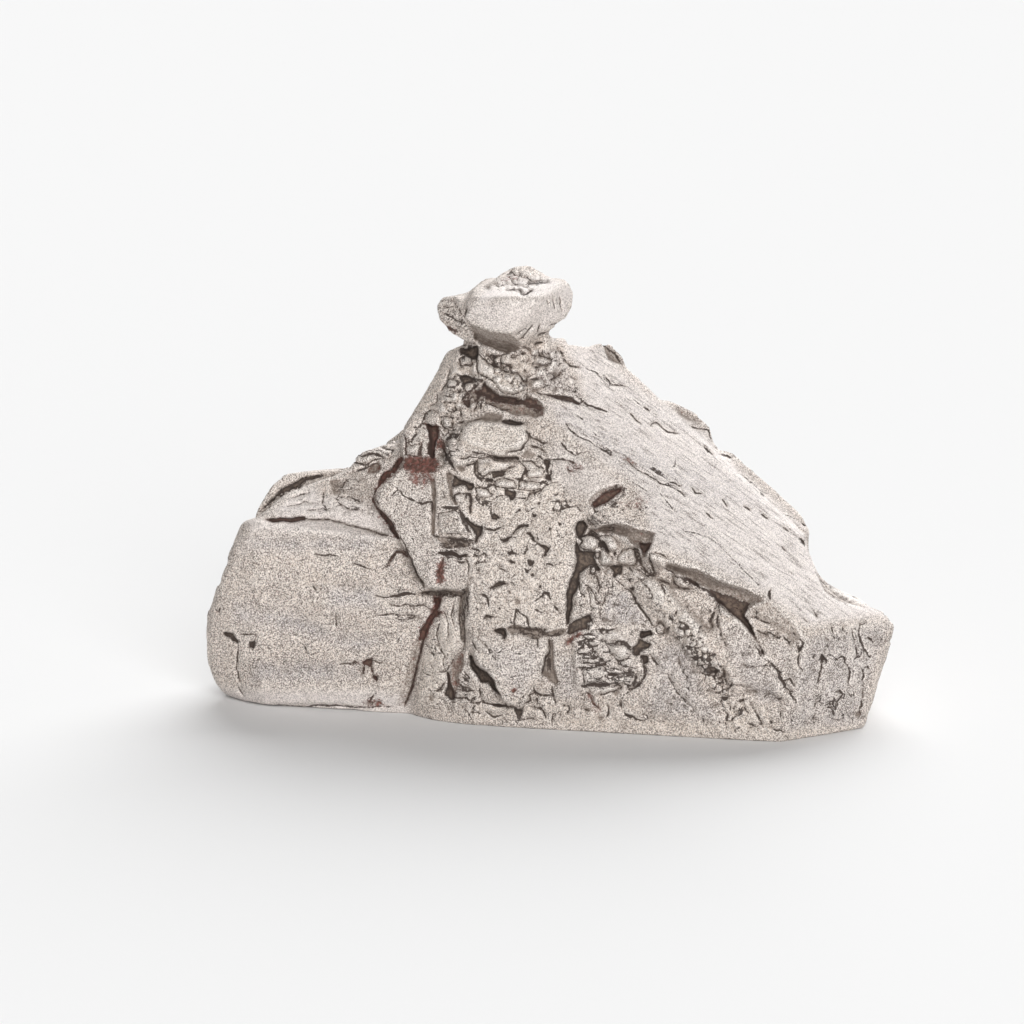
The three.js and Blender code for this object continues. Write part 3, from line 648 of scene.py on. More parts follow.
def cut_column_top(face):
    """The lozenge slab at the head of the column and the crackled plates below it."""
    slab = "-6.7 11.2, -5.6 12.1, -3 12.1, 1.4 11.6, 2.2 10.3, 2 8.9, 1 8, -2 7.8, -5.2 8.3, -6.8 9.3"
    face.nugget(slab, 0.6, 0.6, 0.0)
    face.crack("-6.8 9.3, -6.6 10.6, -5.6 11.7, -4 12.1", 0.16)
    face.crack("2.2 10.3, 2.1 9.2, 1.2 8.1, -0.6 7.8", 0.2)
    face.mark("smooth", 0.5, 0.8, slab)
    face.mark("cream", 0.8, 0.6, slab)
    face.hollow("-1.3 11.6, -1.2 11.9, -0.2 11.9, 1.6 11.6, 1 11.2, -0.5 11.3", 0.8, 0.85)
    face.hollow("1.9 10.8, 2.1 10.1, 1.6 10.3", 0.5, 1.0)
    face.hollow("-4.3 12.2, -3.3 12.8, -1.3 12.8, -1.2 12.2, -2 11.6, -3.7 11.6", 0.35, 0.4)
    face.crack("-6 8, -2 7.3", 0.22)
    face.hollow("-2.6 7.3, 0.9 7.2, 0.9 6.8, -2 6.8", 0.8, 0.95)
    face.hollow("1.1 7.2, 1.9 8.1, 3.4 7.4, 2.4 7", 0.35, 0.5)
    face.cracks(0.28, "3.4 7.4, 4 6.8", "5 6.8, 6.7 6.8, 8.3 6.4")
    face.hollow("4 6.8, 5 6.8, 5 5.9, 4.7 5.2, 4.1 6.4", 0.7, 0.9)
    face.stain("8.2 6.3, 9 6", 0.5, 0.6)
    face.cracks(0.2, "7.8 6.3, 8.2 5.7, 8.9 5.8", "7.2 6, 7.4 5.4, 8 5.3", rust=0.5)
    face.hollow("4.4 4.8, 5 4.8, 5.1 3.8, 4.3 4.3", 0.8, 0.95)
    face.cracks(
        0.25, "3.7 3.8, 4.4 4", "4.7 5.5, 4.7 4.9", "2.4 6.7, 3.4 6, 4.2 5.6", "1.9 5.6, 1.4 4.3, 0.4 4.4",
    )
    face.hollow("0.4 4.4, 1.4 4.3, 1.3 4, 0.5 4.1", 0.5, 0.9)
    face.cracks(
        0.25, "-4.4 7.2, -4.8 6.3, -4.9 5.1, -4 4", "-5 3.2, -3.4 3.2, -2.4 3.7", "-4.8 2, -4.4 1.4",
    )
    face.cracks(0.33, "-6 6.1, -4.8 6.4", "-2.8 5.1, -0.8 5.3", "-4.2 4.4, -3 4.3, -2.5 4.2")
    face.hollow("-7.2 6, -6.2 6, -6.1 5.4, -6.6 5.2, -7.1 5.6", 0.5, 0.6)
    face.hollows(0.7, 0.8, "-2.6 5, -0.8 5.3, -0.9 4.6, -2.7 4.4", "-3.6 4.3, -2.5 4.4, -2.6 3.8, -3.5 4")
    face.hollow(
        "-7.6 4.9, -6.7 4.3, -5.8 4, -5.1 3.5, -5 3.2, -5.4 2.7, -5.9 2.8, -6.2 3.5, -6.8 3.5, -7.6 3.2, "
        "-7.8 3.5", 0.9, 0.85,
    )
    face.hollow("-1 3, 0.6 2.8, 0.6 2, 0.2 1.4, -0.2 1.4, -0.4 2, -1 2.2", 0.8, 0.85)
    face.hollow("2.1 2.5, 2.9 2.5, 2.8 2.1, 2.1 2", 0.4, 0.6)
    face.cracks(
        0.2, "0.6 1.8, 1.9 1.8, 2.2 2.4, 3.8 2.7", "-4.2 1.6, -2.8 1.4, -2 2, -0.9 2.2",
        "5.2 1.4, 7 1.5, 7.1 0.9, 7.7 0.7", "5.4 0.9, 5.2 0.2, 6.3 0.4, 6.4 1.2", "5.2 0.1, 8.4 0.8, 9 0.2",
        "-6.9 6.9, -5.6 7.2, -4.6 7.2", "3.6 2.7, 4.3 3.3, 5.1 3.7",
    )
    face.hollow("-6 2.4, -5.4 2.4, -5 1.4, -5.5 -0.4, -5.7 -0.3, -5.5 1.6", 0.7, 0.8)
    face.crack("-7.4 1.7, -7.3 2.3, -6.7 2.5, -6 2.3, -6 1.6", 0.3)
    face.flakes("-7.2 1.2, -7.1 2.2, -6.1 2.2, -6.1 1", count=14, size=0.22, depth=0.2, seed=61)
    face.hollow("-2.6 0, -2.2 -0.2, -1.6 -0.8, -2 -1.1, -3.1 -1.1, -2.7 -0.8", 0.6, 0.9)
    face.hollow("2.6 -0.1, 3.5 -0.2, 3.1 -0.7, 2.7 -0.6", 0.5, 0.9)
    face.spots(0.22, 0.4, "5.2 -0.8, 3.4 1.2, 0.9 0.2")
    face.fibres(
        "4.9 2.7, 6.5 2.6, 7.9 1.7, 9.1 0.5, 7 1.6, 5.2 1.9", "5.1 2.9, 6.6 2.8, 9 0.8", 0.34, seed=62,
    )
    face.nuggets(
        0.45, 0.14, "-4.4 7, -4.6 5.4, -3.8 4.5, -2.8 5.2, -0.7 5.5, 0.6 6.6, -2 6.6, -3 7.2",
        "0.9 6.7, 2.4 6.6, 4.2 5.4, 4.2 4.4, 2 4.4, 2 5.6",
        "-2.3 4, -0.9 4.4, 0.3 4, 0.6 3.1, -1 3.1, -2.2 3.4", "1 4, 3.6 3.8, 3.6 3, 2 2.7, 0.8 2.9",
        "-5 3, -3.4 3, -2.6 2.2, -4.2 1.8", edge=0.25,
    )
    head = "-7.2 5, -4.8 7, 4 7, 8.4 0.4, 5 -1, -5.4 -1"
    face.mark("cream", 0.6, 0.8, head)
    face.flakes(head, count=90, size=0.3, depth=0.25, dark=0.35, seed=63)
    face.chips(head, count=60, width=0.16, length=0.9, depth=0.3, seed=64)
    face.chips(slab, count=12, width=0.1, length=0.7, depth=0.12, seed=65)


def cut_column(face):
    """The flat of the column, with its scattered pits and hooked cracks, and the groove at its right."""
    face.hollows(
        0.7, 0.9, "-1.6 -3.4, -0.9 -3.4, -0.1 -3, 0.7 -1.8, 2 -1.6, 2.2 -1.9, 0.8 -2.2, -0.5 -3.9, -1.2 -4",
        "1.9 -2.6, 2.4 -2.6, 3.2 -3.9, 5 -4.7, 4.4 -5.8, 3.8 -5.9, 4.2 -5.5, 4.3 -5, 2.6 -3.6",
        "-3.2 -10.2, -1.8 -9, -0.2 -9.4, -2 -9.8, -3 -10.2",
        "-3.8 -13.8, -3.2 -13.4, -1.8 -13.8, -2.8 -13.8, -3.6 -14",
    )
    face.hollows(
        0.5, 0.8, "-0.6 -5.1, 0.2 -5, 0.5 -5.3, 1.5 -5.4, -0.6 -5.6",
        "-0.5 -6, 0.6 -6.4, 0.1 -6.7, -0.4 -6.4", "1.9 -6.3, 2.2 -6, 2.8 -6.6, 2.6 -7.4, 2.2 -7",
        "2.2 -8.2, 2.6 -8, 3.1 -8.2, 2.7 -8.5", "-4.3 -11.6, -3.1 -11.9, -3.4 -12.1",
    )
    face.hollow("0.3 -11, 1.2 -11.6, 1.1 -12.1, 0.6 -12.1, 0.4 -11.6", 0.4, 0.6)
    face.spots(
        0.2, 0.4,
        "1.3 -9, -1.6 -12.6, 4.6 -13.2, 5.4 -8.6, -4.4 -7.6, 3.6 -9.8, 6 -3.2, 4.9 -2.2, 6.2 -1.6",
    )
    face.cracks(
        0.28, "-4.1 -10.8, -3.6 -10.8, -3.2 -11.2, -3 -12.2", "0.6 -12.8, 0.3 -14.1, 0.5 -14.9",
        "0.6 -12.8, 1.9 -13.7, 2.2 -14.8", "3.2 -11.4, 3.9 -11, 4 -10.6, 4.6 -10.8, 5 -11.4",
        "-5 -5.8, -4.5 -5.5, -3.3 -5.7", "-5 -6.9, -4.3 -6.4, -3.5 -6.6", "-3.9 -5.2, -3.4 -5.6, -3.6 -6.2",
        "-4.8 -7.4, -4 -7.2", "1.6 -7.4, 2 -7.8, 2.4 -7.5", "-5.4 -4.6, -4.4 -5", "4.6 -6.6, 5.4 -6.9",
        "-1.6 -7.2, -0.9 -7.6", "5.4 -12.2, 6 -12.8", "3 -12.6, 3.7 -13",
    )
    face.hollow(
        "8.2 -3.4, 8.9 -5, 10.9 -5.1, 10.7 -5.7, 11.1 -6.9, 11.5 -7.3, 11.3 -7.6, 10.9 -7.6, 10.7 -7, "
        "10.2 -7, 8.8 -8.1, 8.5 -10.2, 7.9 -11, 7.5 -14.2, 7.1 -15, 7 -10.9, 7.7 -8.6, 8.3 -7.6, 8.4 -6, "
        "8.1 -4.8", 0.9, 0.8,
    )
    face.hollow("8.7 -1.2, 9.4 -1.2, 9.9 -1.9, 8.9 -3.3, 8.4 -3.2, 8.2 -2.2, 8.4 -1.6", 0.9, 0.8)
    face.hollow(
        "7.1 -15.7, 7.3 -14.9, 7.7 -14.3, 10.2 -13.3, 10.6 -14.3, 9.9 -14.4, 9.8 -15.3, 7.4 -16", 0.7, 0.8,
    )
    flat = "-5.4 -3, -5.4 -14, 6.2 -15, 6.8 -8, 8 -1.5, 4 -0.6, -3 -1"
    face.mark("smooth", 0.35, 1.0, flat)
    face.mark("cream", 0.4, 1.0, flat)
    face.swell(0.3, 1.6, "-4.6 -2, -4.8 -14, 5.6 -14.6, 6.4 -4, 7 -1.6")
    face.flakes(flat, count=110, size=0.28, depth=0.25, dark=0.55, seed=71)
    face.chips(flat, count=80, width=0.17, length=0.7, depth=0.25, seed=72)


def cut_shelf_and_lower_tongue(face):
    """The shelf under the column and the tongue that hangs below it."""
    face.hollow("-2.4 -15.3, -1.4 -15.2, -0.8 -15.3, -0.7 -16.1, -1 -16.8, -1.4 -16, -2.2 -15.6", 1.1, 1.0)
    face.hollow(
        "-0.8 -15, 0.6 -14.7, 3.6 -15.2, 4.4 -15.7, 5.4 -15.3, 7.1 -15.2, 6.9 -15.8, 3.9 -16.2, 3.4 -16.6, "
        "0.8 -15.6, -0.1 -15.9", 0.6, 0.62,
    )
    face.fibres(
        "-0.8 -15, 4 -15, 7 -15.2, 6.8 -16, 3.4 -16.6, -0.2 -16", "-0.6 -15, 3.8 -15.4, 7 -15.4", 0.34,
        seed=85,
    )
    face.cracks(0.3, "-0.6 -15.2, 0.8 -15, 2.4 -15.2, 4 -15.7", "4.6 -16.1, 6.2 -15.8", "4.9 -18, 5 -20.4")
    face.cracks(
        0.22, "-0.7 -15.1, 0.4 -14.8", "2.6 -15, 3.6 -15.3, 4.4 -15.2", "0.8 -15.7, 3.4 -16.6, 3.4 -17.4",
        "4.6 -16.2, 6.4 -16",
    )
    face.hollow(
        "-5.7 -18.5, -5.2 -18.8, -4.8 -19.8, -3.2 -20.9, -2.5 -21.8, -2.2 -22.8, -1.3 -23.9, -2.9 -22.8, "
        "-3.3 -22.2, -4 -22.2, -5.3 -20.4, -5.4 -19.3", 1.2, 1.0,
    )
    face.hollow(
        "4.6 -16.6, 5.2 -16.6, 5.4 -17.8, 5.5 -20.5, 5.8 -21.6, 6 -22.1, 5.7 -22.6, 4.9 -22, 4.5 -21.4, "
        "3.8 -21.3, 4.6 -18.2", 0.7, 0.66,
    )
    face.cracks(0.3, "4.7 -16.5, 4.9 -17.6, 3.8 -21.2")
    face.cracks(0.16, "-4.6 -16.2, -2.8 -18.1, -2.2 -19.2", "-5.2 -17, -4.3 -18.2", "0.8 -27, 2.7 -26.7")
    face.hollow("-3 -25, -2 -24.9, -0.7 -25.2, -1.2 -25.5, -2.4 -25.5", 0.6, 0.9)
    face.hollow("0.1 -25.6, 1.3 -25.5, 1.9 -24.7, 1.1 -26.8, 0.7 -27.3, 0.5 -26.5", 0.5, 0.8)
    face.cracks(
        0.22, "-5.4 -24.8, -4 -24.8, 0.2 -25.5", "-4.1 -23, -4.1 -24", "1.9 -24.8, 2.5 -24.5, 2.3 -23.8",
        "2.8 -22.6, 3.1 -23.4, 3.9 -23.9, 5.3 -24", "2 -23.8, 2.8 -23.6", "5.2 -22.8, 5.3 -23.8, 5.7 -24.9",
        "5.3 -26.5, 5.3 -27.5", "6.6 -25.2, 7.4 -25.1, 7.6 -25.7, 7.3 -26.1",
        "-3.4 -26, -2.6 -26.6, -1.4 -26.4", "3.4 -25.4, 4.2 -26, 4.4 -26.8",
    )
    face.hollow("6.1 -26, 6.6 -26, 6.3 -26.5", 0.4, 0.9)
    face.hollow("7 -17.1, 9.2 -15.9, 9.2 -15.6, 6.9 -16.7", 0.3, 0.3, rust=0.9)
    face.spots(0.25, 0.3, "8.6 -16.2, 7.6 -16.8, 0.2 -23.3", rust=0.9)
    tongue = "-5 -16.5, 4.4 -16.5, 3.8 -21, 1.4 -24.6, -1 -24.6, -3 -20.6"
    face.swell(0.4, 1.2, tongue)
    face.mark("grey", 0.7, 1.0, "-3.6 -17.6, 3.6 -17.4, 3 -21, 0.8 -24, -1 -22.6")
    face.mark("cream", 0.6, 0.8, "-5 -17, -3 -17, -1.6 -20, -3.4 -20")
    face.flakes(tongue, count=26, size=0.24, depth=0.15, seed=81)
    face.chips(tongue, count=18, width=0.12, length=0.7, depth=0.15, seed=82)
    base = "-5 -24.8, 8 -24, 9 -27.6, -5 -27.2"
    face.mark("cream", 0.5, 0.8, base)
    face.flakes(base, count=50, size=0.28, depth=0.2, seed=83)
    face.chips(base, count=26, length=0.8, seed=84)


def cut_peak(face):
    """The rubble under the cap, and the dark hollow below it."""
    face.mark("smooth", 0.8, 0.5, "-7.4 21.8, -8.6 20.8, -12.6 13.2, -11 13, -8 18.6")
    face.mark("cream", 0.6, 0.5, "-7.4 21.8, -8.6 20.8, -12.6 13.2, -11 13, -8 18.6")
    # under the cap's left lobe: a cut hollow whose dark colour is partly painted shade under the lobe
    face.hollow(
        "-6.9 21.8, -6 21.3, -4.4 21.6, -4.3 21, -4.5 19.8, -5.2 19.7, -6.2 20.6, -6.7 20.3", 1.1, 0.9,
    )
    face.nuggets(
        0.6, 0.22, "-6.8 19.9, -5.9 20.4, -5.2 19.9, -5.2 19.1, -6.5 18.9",
        "-5.6 21.4, -5.2 21.4, -5.2 21, -5.6 21",
        "-4.5 20.6, -3 19.4, -1 18.3, 0.7 18, 1.7 16.8, 1.7 15.8, 0 15.4, -1.5 15.6, -2.5 17, -4.5 18.2",
        "2.6 19.2, 3 20.2, 4.3 20.2, 5.2 19.7, 5 19.4, 3.9 19.1",
        "-9.4 12.4, -8.6 12.6, -7.8 12.2, -7.8 11, -8.9 10.8, -9.3 11.4",
        "-5 16.9, -4.4 17, -3.6 16.4, -4.2 16, -4.9 16.2",
        "-8.6 17, -7.6 17.4, -6.9 16.8, -7.4 16.2, -8.4 16.2",
        "2.4 17.2, 4 17.4, 4.6 16.4, 3.2 15.8, 2.4 16", edge=0.4,
    )
    face.hollow(
        "-3.8 17, -1.6 15.2, 0.6 15.1, 1.1 14.6, 2.1 15.1, 3.3 14.7, 4.3 13.5, 4.1 12.6, 3.1 12.3, 2 12.6, "
        "0 12.7, -1.7 13.6, -3.1 13.9, -3.6 14.8, -5.2 15.4, -5 16, -4.3 15.9, -4 16.6", 0.8, 0.68,
        rust=0.25,
    )
    face.hollow(
        "-3.8 16.8, -1.6 15.1, 0.4 15, 0.9 14.4, 0.1 13.9, -1 14.3, -2.4 14.2, -3.4 14.9, -4.9 15.5, "
        "-4.8 15.9, -4 15.8", 1.3, 1.0, rust=0.2,
    )
    face.hollow("1.6 14.6, 2.3 14.9, 3.2 14.5, 4 13.5, 3.9 13, 3 13.6, 2 13.6", 1.0, 0.9, rust=0.3)
    face.crack("-4.6 15.6, -1 14.5, 2.4 14.2, 3.6 13.4", 0.6, 0.4, 0.2)
    face.crack("-3.6 14.2, -1.4 13.4, 2.4 12.9", 0.24, 0.3)
    face.nuggets(
        0.7, 0.15, "0.5 14.2, 1.6 15.1, 2 15, 1 14", "-2.6 14.6, -1.6 14.7, -1.8 14.2, -2.6 14.1", edge=0.2,
    )
    face.fibres(
        "0 12.8, 4.2 12.6, 4.2 13.5, 3 14.4, 1 13.9, 0 13.3", "0 12.2, 2 12.6, 4.2 13.6", 0.28, 0.15,
        seed=91,
    )
    face.hollow(
        "-6.8 14.1, -6 15.4, -5 16.5, -3.7 16.8, -3.1 15.8, -3.4 14.6, -5.6 13.8", 0.7, 0.68, 0.3, rust=0.2,
    )
    face.cracks(
        0.36, "-6.4 14.6, -5.6 15.6, -4.4 16.6", "-4.3 15.4, -4.4 14.4", "-3.4 16.6, -2.9 15.4, -3.2 14.4",
    )
    face.nuggets(
        0.5, 0.15, "-5.5 13.2, -5.4 14.8, -4.8 15, -4.5 14, -4.9 13.1",
        "-4.2 13.8, -4.2 15, -3.7 15.1, -3.6 13.8", edge=0.2,
    )
    face.hollow("-6.6 16.3, -6.1 16.9, -5.9 16.3, -6.3 15.7", 0.7, 1.0)
    face.hollow("-6.5 14.5, -5.4 14.7, -5.5 13.4, -6.1 13.9", 0.7, 0.9)
    face.hollow("-7.2 11.5, -6.1 11.9, -6.5 11.4", 0.6, 1.0)
    face.cracks(
        0.25, "-7.5 17.7, -5.7 17.7, -4.9 17.3, -3.9 17.2, -3.3 16.5", "-4.2 14.8, -4.6 13.2",
        "-3.8 14.8, -4.1 13.2", "-8 13.2, -7.1 13.4", "-6.7 13.5, -6.6 12.4", "2 17.6, 2 15.2",
        "-7.9 10.3, -7.3 10, -6.9 10.2", "-7.4 15.9, -6.6 15.6", "-8.8 15.1, -7.8 15",
        "5 17.2, 6 17.6, 6.8 18.4",
    )
    face.cracks(
        0.16, "-10.8 13.6, -9.9 14.3, -9.8 15.2", "-1.3 18.9, -0.3 18.9, -0.2 18.4, 0.7 18",
        "-2 18, -1 18.2", "1.4 21.5, 2.4 21", "0.2 20.9, 0.6 20.9, 0.6 20.2, 0.2 20",
        "6.7 19.6, 7.6 19.1, 8.7 18.8", "-9.2 15.8, -8.4 17, -8 18.4", "-11.4 12.8, -10.4 13.2, -9.6 12.9",
    )
    face.cracks(
        0.3, "3 21.8, 4 22", "5.9 21.5, 6.4 20.7", "-11.2 12.8, -11.7 11.5, -10.9 11.4",
        "-3.4 20.6, -2.6 19.8, -1.4 19.4",
    )
    rough = "-9.6 13, -7.2 19.6, -4.6 20.4, 4.6 21.4, 6.4 18.6, 2 15.8, -4 17, -6 12.6"
    face.mark(
        "cream", 0.9, 0.3,
        "-4.5 20.6, -3 19.4, -1 18.3, 0.7 18, 1.7 16.8, 1.7 15.8, 0 15.4, -1.5 15.6, -2.5 17, -4.5 18.2",
    )
    face.hollow("-7 19, -5.4 18.8, -4.6 18, -2.8 16.8, -3.4 15.4, -6.4 14.8, -7.4 17", 0.35, 0.2, 0.6)
    face.mark("cream", 0.7, 0.8, "-9.4 13, -7.4 19.4, -5 19, -2 20.4, 2.6 20.4, 2 16.4, -2 16.6, -5 13")
    face.hollow("-6.9 17.6, -6 17.9, -5 17.3, -5.2 16.7, -6.2 16.4", 0.8, 0.85)
    face.rubble(rough, size=1.2, lift=0.8, seam=0.15, depth=0.5, seed=92)
    brow = "3 21, 6 21, 8.6 16.2, 8.8 14.9, 6 15.4, 3 16.6"
    face.mark("grey", 0.5, 0.5, brow)
    face.rubble(brow, size=1.1, lift=0.4, seam=0.12, depth=0.35, seed=98)
    face.flakes(brow, count=50, size=0.3, depth=0.25, dark=0.35, seed=99)
    face.chips(brow, count=30, width=0.18, length=0.8, depth=0.3, seed=100)
    face.flakes(rough, count=100, size=0.34, depth=0.3, dark=0.3, seed=93)
    face.chips(rough, count=60, width=0.2, length=0.8, depth=0.35, seed=94)
    face.rubble("-9.4 6, -9.4 12.6, -6.4 13, -7 8, -8.4 5.6", size=0.9, lift=0.4, seed=95)
    face.flakes(
        "-9.4 5.6, -9.6 12.6, -6.6 13, -7 8, -8 5.6", count=50, size=0.3, depth=0.25, dark=0.35, seed=96,
    )
    face.flakes("3 8.2, 2.6 12.2, 4.4 12.4, 7 9, 6 7, 4.6 7.2", count=50, size=0.28, depth=0.2, seed=97)


def cut_cap(face):
    """The anvil-shaped cap: a smooth front face over an underside darkened with painted shade, and a
    crumbly left lobe.
    """
    # the underside leans back under the front edge and is also painted dim: painted shade on a face turned
    # down from the light
    face.lean(
        "-5.3 24.5, -3.2 23.6, -0.1 23.2, 0.8 22.5, 1.2 21.9, 1 21.1, -0.6 20.7, -3.5 21.7, -4.8 22.5, "
        "-5.2 23.5", "-5.3 24.5, -3.2 23.6, -0.1 23.2, 0.8 22.5, 1.2 21.9", 0.7, 0.5,
    )
    # the cap's top is painted pale: partly its tone, partly painted light where the light from above falls
    face.mark("pale", 1.0, 0.6, "-5.4 26.6, -4 28.4, -1 30.4, 4 30.6, 8 29.4, 8.6 27, 3.8 28, -2 27.6")
    face.mark(
        "pale", 0.8, 0.6, "-6.2 25.4, -5.4 27, 4 28.2, 8 28, 6.6 24.6, 3.4 23.2, -0.2 23.3, -3.2 23.8",
    )
    face.mark("smooth", 0.7, 0.4, "-6 25.6, -5.6 27.2, -4 28.2, 4.4 28.4, 3.2 24.6, -0.6 23.2, -3 23.4")
    face.mark("smooth", 0.6, 0.3, "-5.1 24.4, -3.2 23.5, -0.1 23.1, 1.1 21.9, -0.6 20.8, -4.6 22.6")
    face.swell(0.3, 0.8, "-5.8 25.6, -5 27.2, 3.6 27.8, 3 24.8, -0.2 23.6, -3.2 24")
    # the second line is cut shallow and painted dark where the cap's left lobe casts its shadow: painted
    # shadow
    face.cracks(0.2, "-8.7 25.8, -6.8 24.6, -6.3 24.5", "-6.3 21.7, -5 21.8, -4.2 22.1, -3.9 21.8")
    face.crack("-9.2 24.4, -8.3 24, -7.5 23.5", 0.3, 0.3, 0.5)
    face.cracks(
        0.16, "-6.4 25.6, -5.8 26.4", "3.5 24.2, 3.3 23.3", "2 29.8, 2.6 29.6, 4.6 29.8",
        "-0.8 28.8, 0.9 28.8, 1.2 28.2", "5.2 24.4, 5.9 24.6, 6.6 24.7", "3.4 23, 4.6 23.4",
        "-3.6 29, -3.1 29.1", "-7.6 27.6, -7 26.6, -6.6 25.6", "-9 26.8, -8.2 26.6", "-0.4 31, 0 31.4",
    )
    face.cracks(0.3, "1.3 28.2, 2 28.4, 2.6 28.8")
    face.stain("-1.4 30.1, 0.6 30.6", 0.5, 0.5)
    face.stain("3.6 27, 5.4 28", 1.0, 0.2)
    face.cracks(
        0.12, "4.6 27.5, 4.7 26.8", "5.3 28.1, 5.5 26.4", "6.2 28, 6.4 26.2", "0.6 23.1, 1.6 23.8",
        "1.2 22.6, 2.6 24.2",
    )
    face.streaks(
        "4.2 24.2, 4.4 28.6, 6 30, 8 28, 7 25", slope=6.0, width=0.4, depth=0.2, cover=0.5, seed=102,
    )
    face.rubble(
        "-9.6 25.2, -8.6 26.6, -6.8 26.4, -5.6 24, -7.4 23.2", size=0.8, lift=0.35, seam=0.14, depth=0.3,
        seed=107,
    )
    face.hollow("-9.2 25.2, -8 24.8, -6.6 24, -6.2 23.4, -7.4 23.4, -8.6 24.2", 0.25, 0.3, 0.5)
    face.flakes(
        "-9.6 25.4, -8.8 26.8, -7.4 27.6, -6.4 26.6, -6.4 25, -5.4 23.6, -7.6 23.2", count=36, size=0.3,
        dark=0.3, seed=103,
    )
    face.rubble(
        "-3 28.9, -1 31.2, 2 31.6, 4.4 30.6, 4.4 29.2, 0 28.8", size=1.1, lift=0.3, seam=0.12, depth=0.25,
        seed=104,
    )
    face.flakes(
        "-2.6 28.9, -1 31, 2 31.4, 4.4 30.4, 4.4 29.2, 0 28.8", count=26, size=0.3, depth=0.2, dark=0.2,
        seed=105,
    )
    face.flakes(
        "-5 22.2, -3 21.2, 1.4 20.6, 4.6 22.6, 5.4 21.4, 2 20, -4 20.6", count=40, size=0.3, depth=0.3,
        dark=0.4, seed=106,
    )


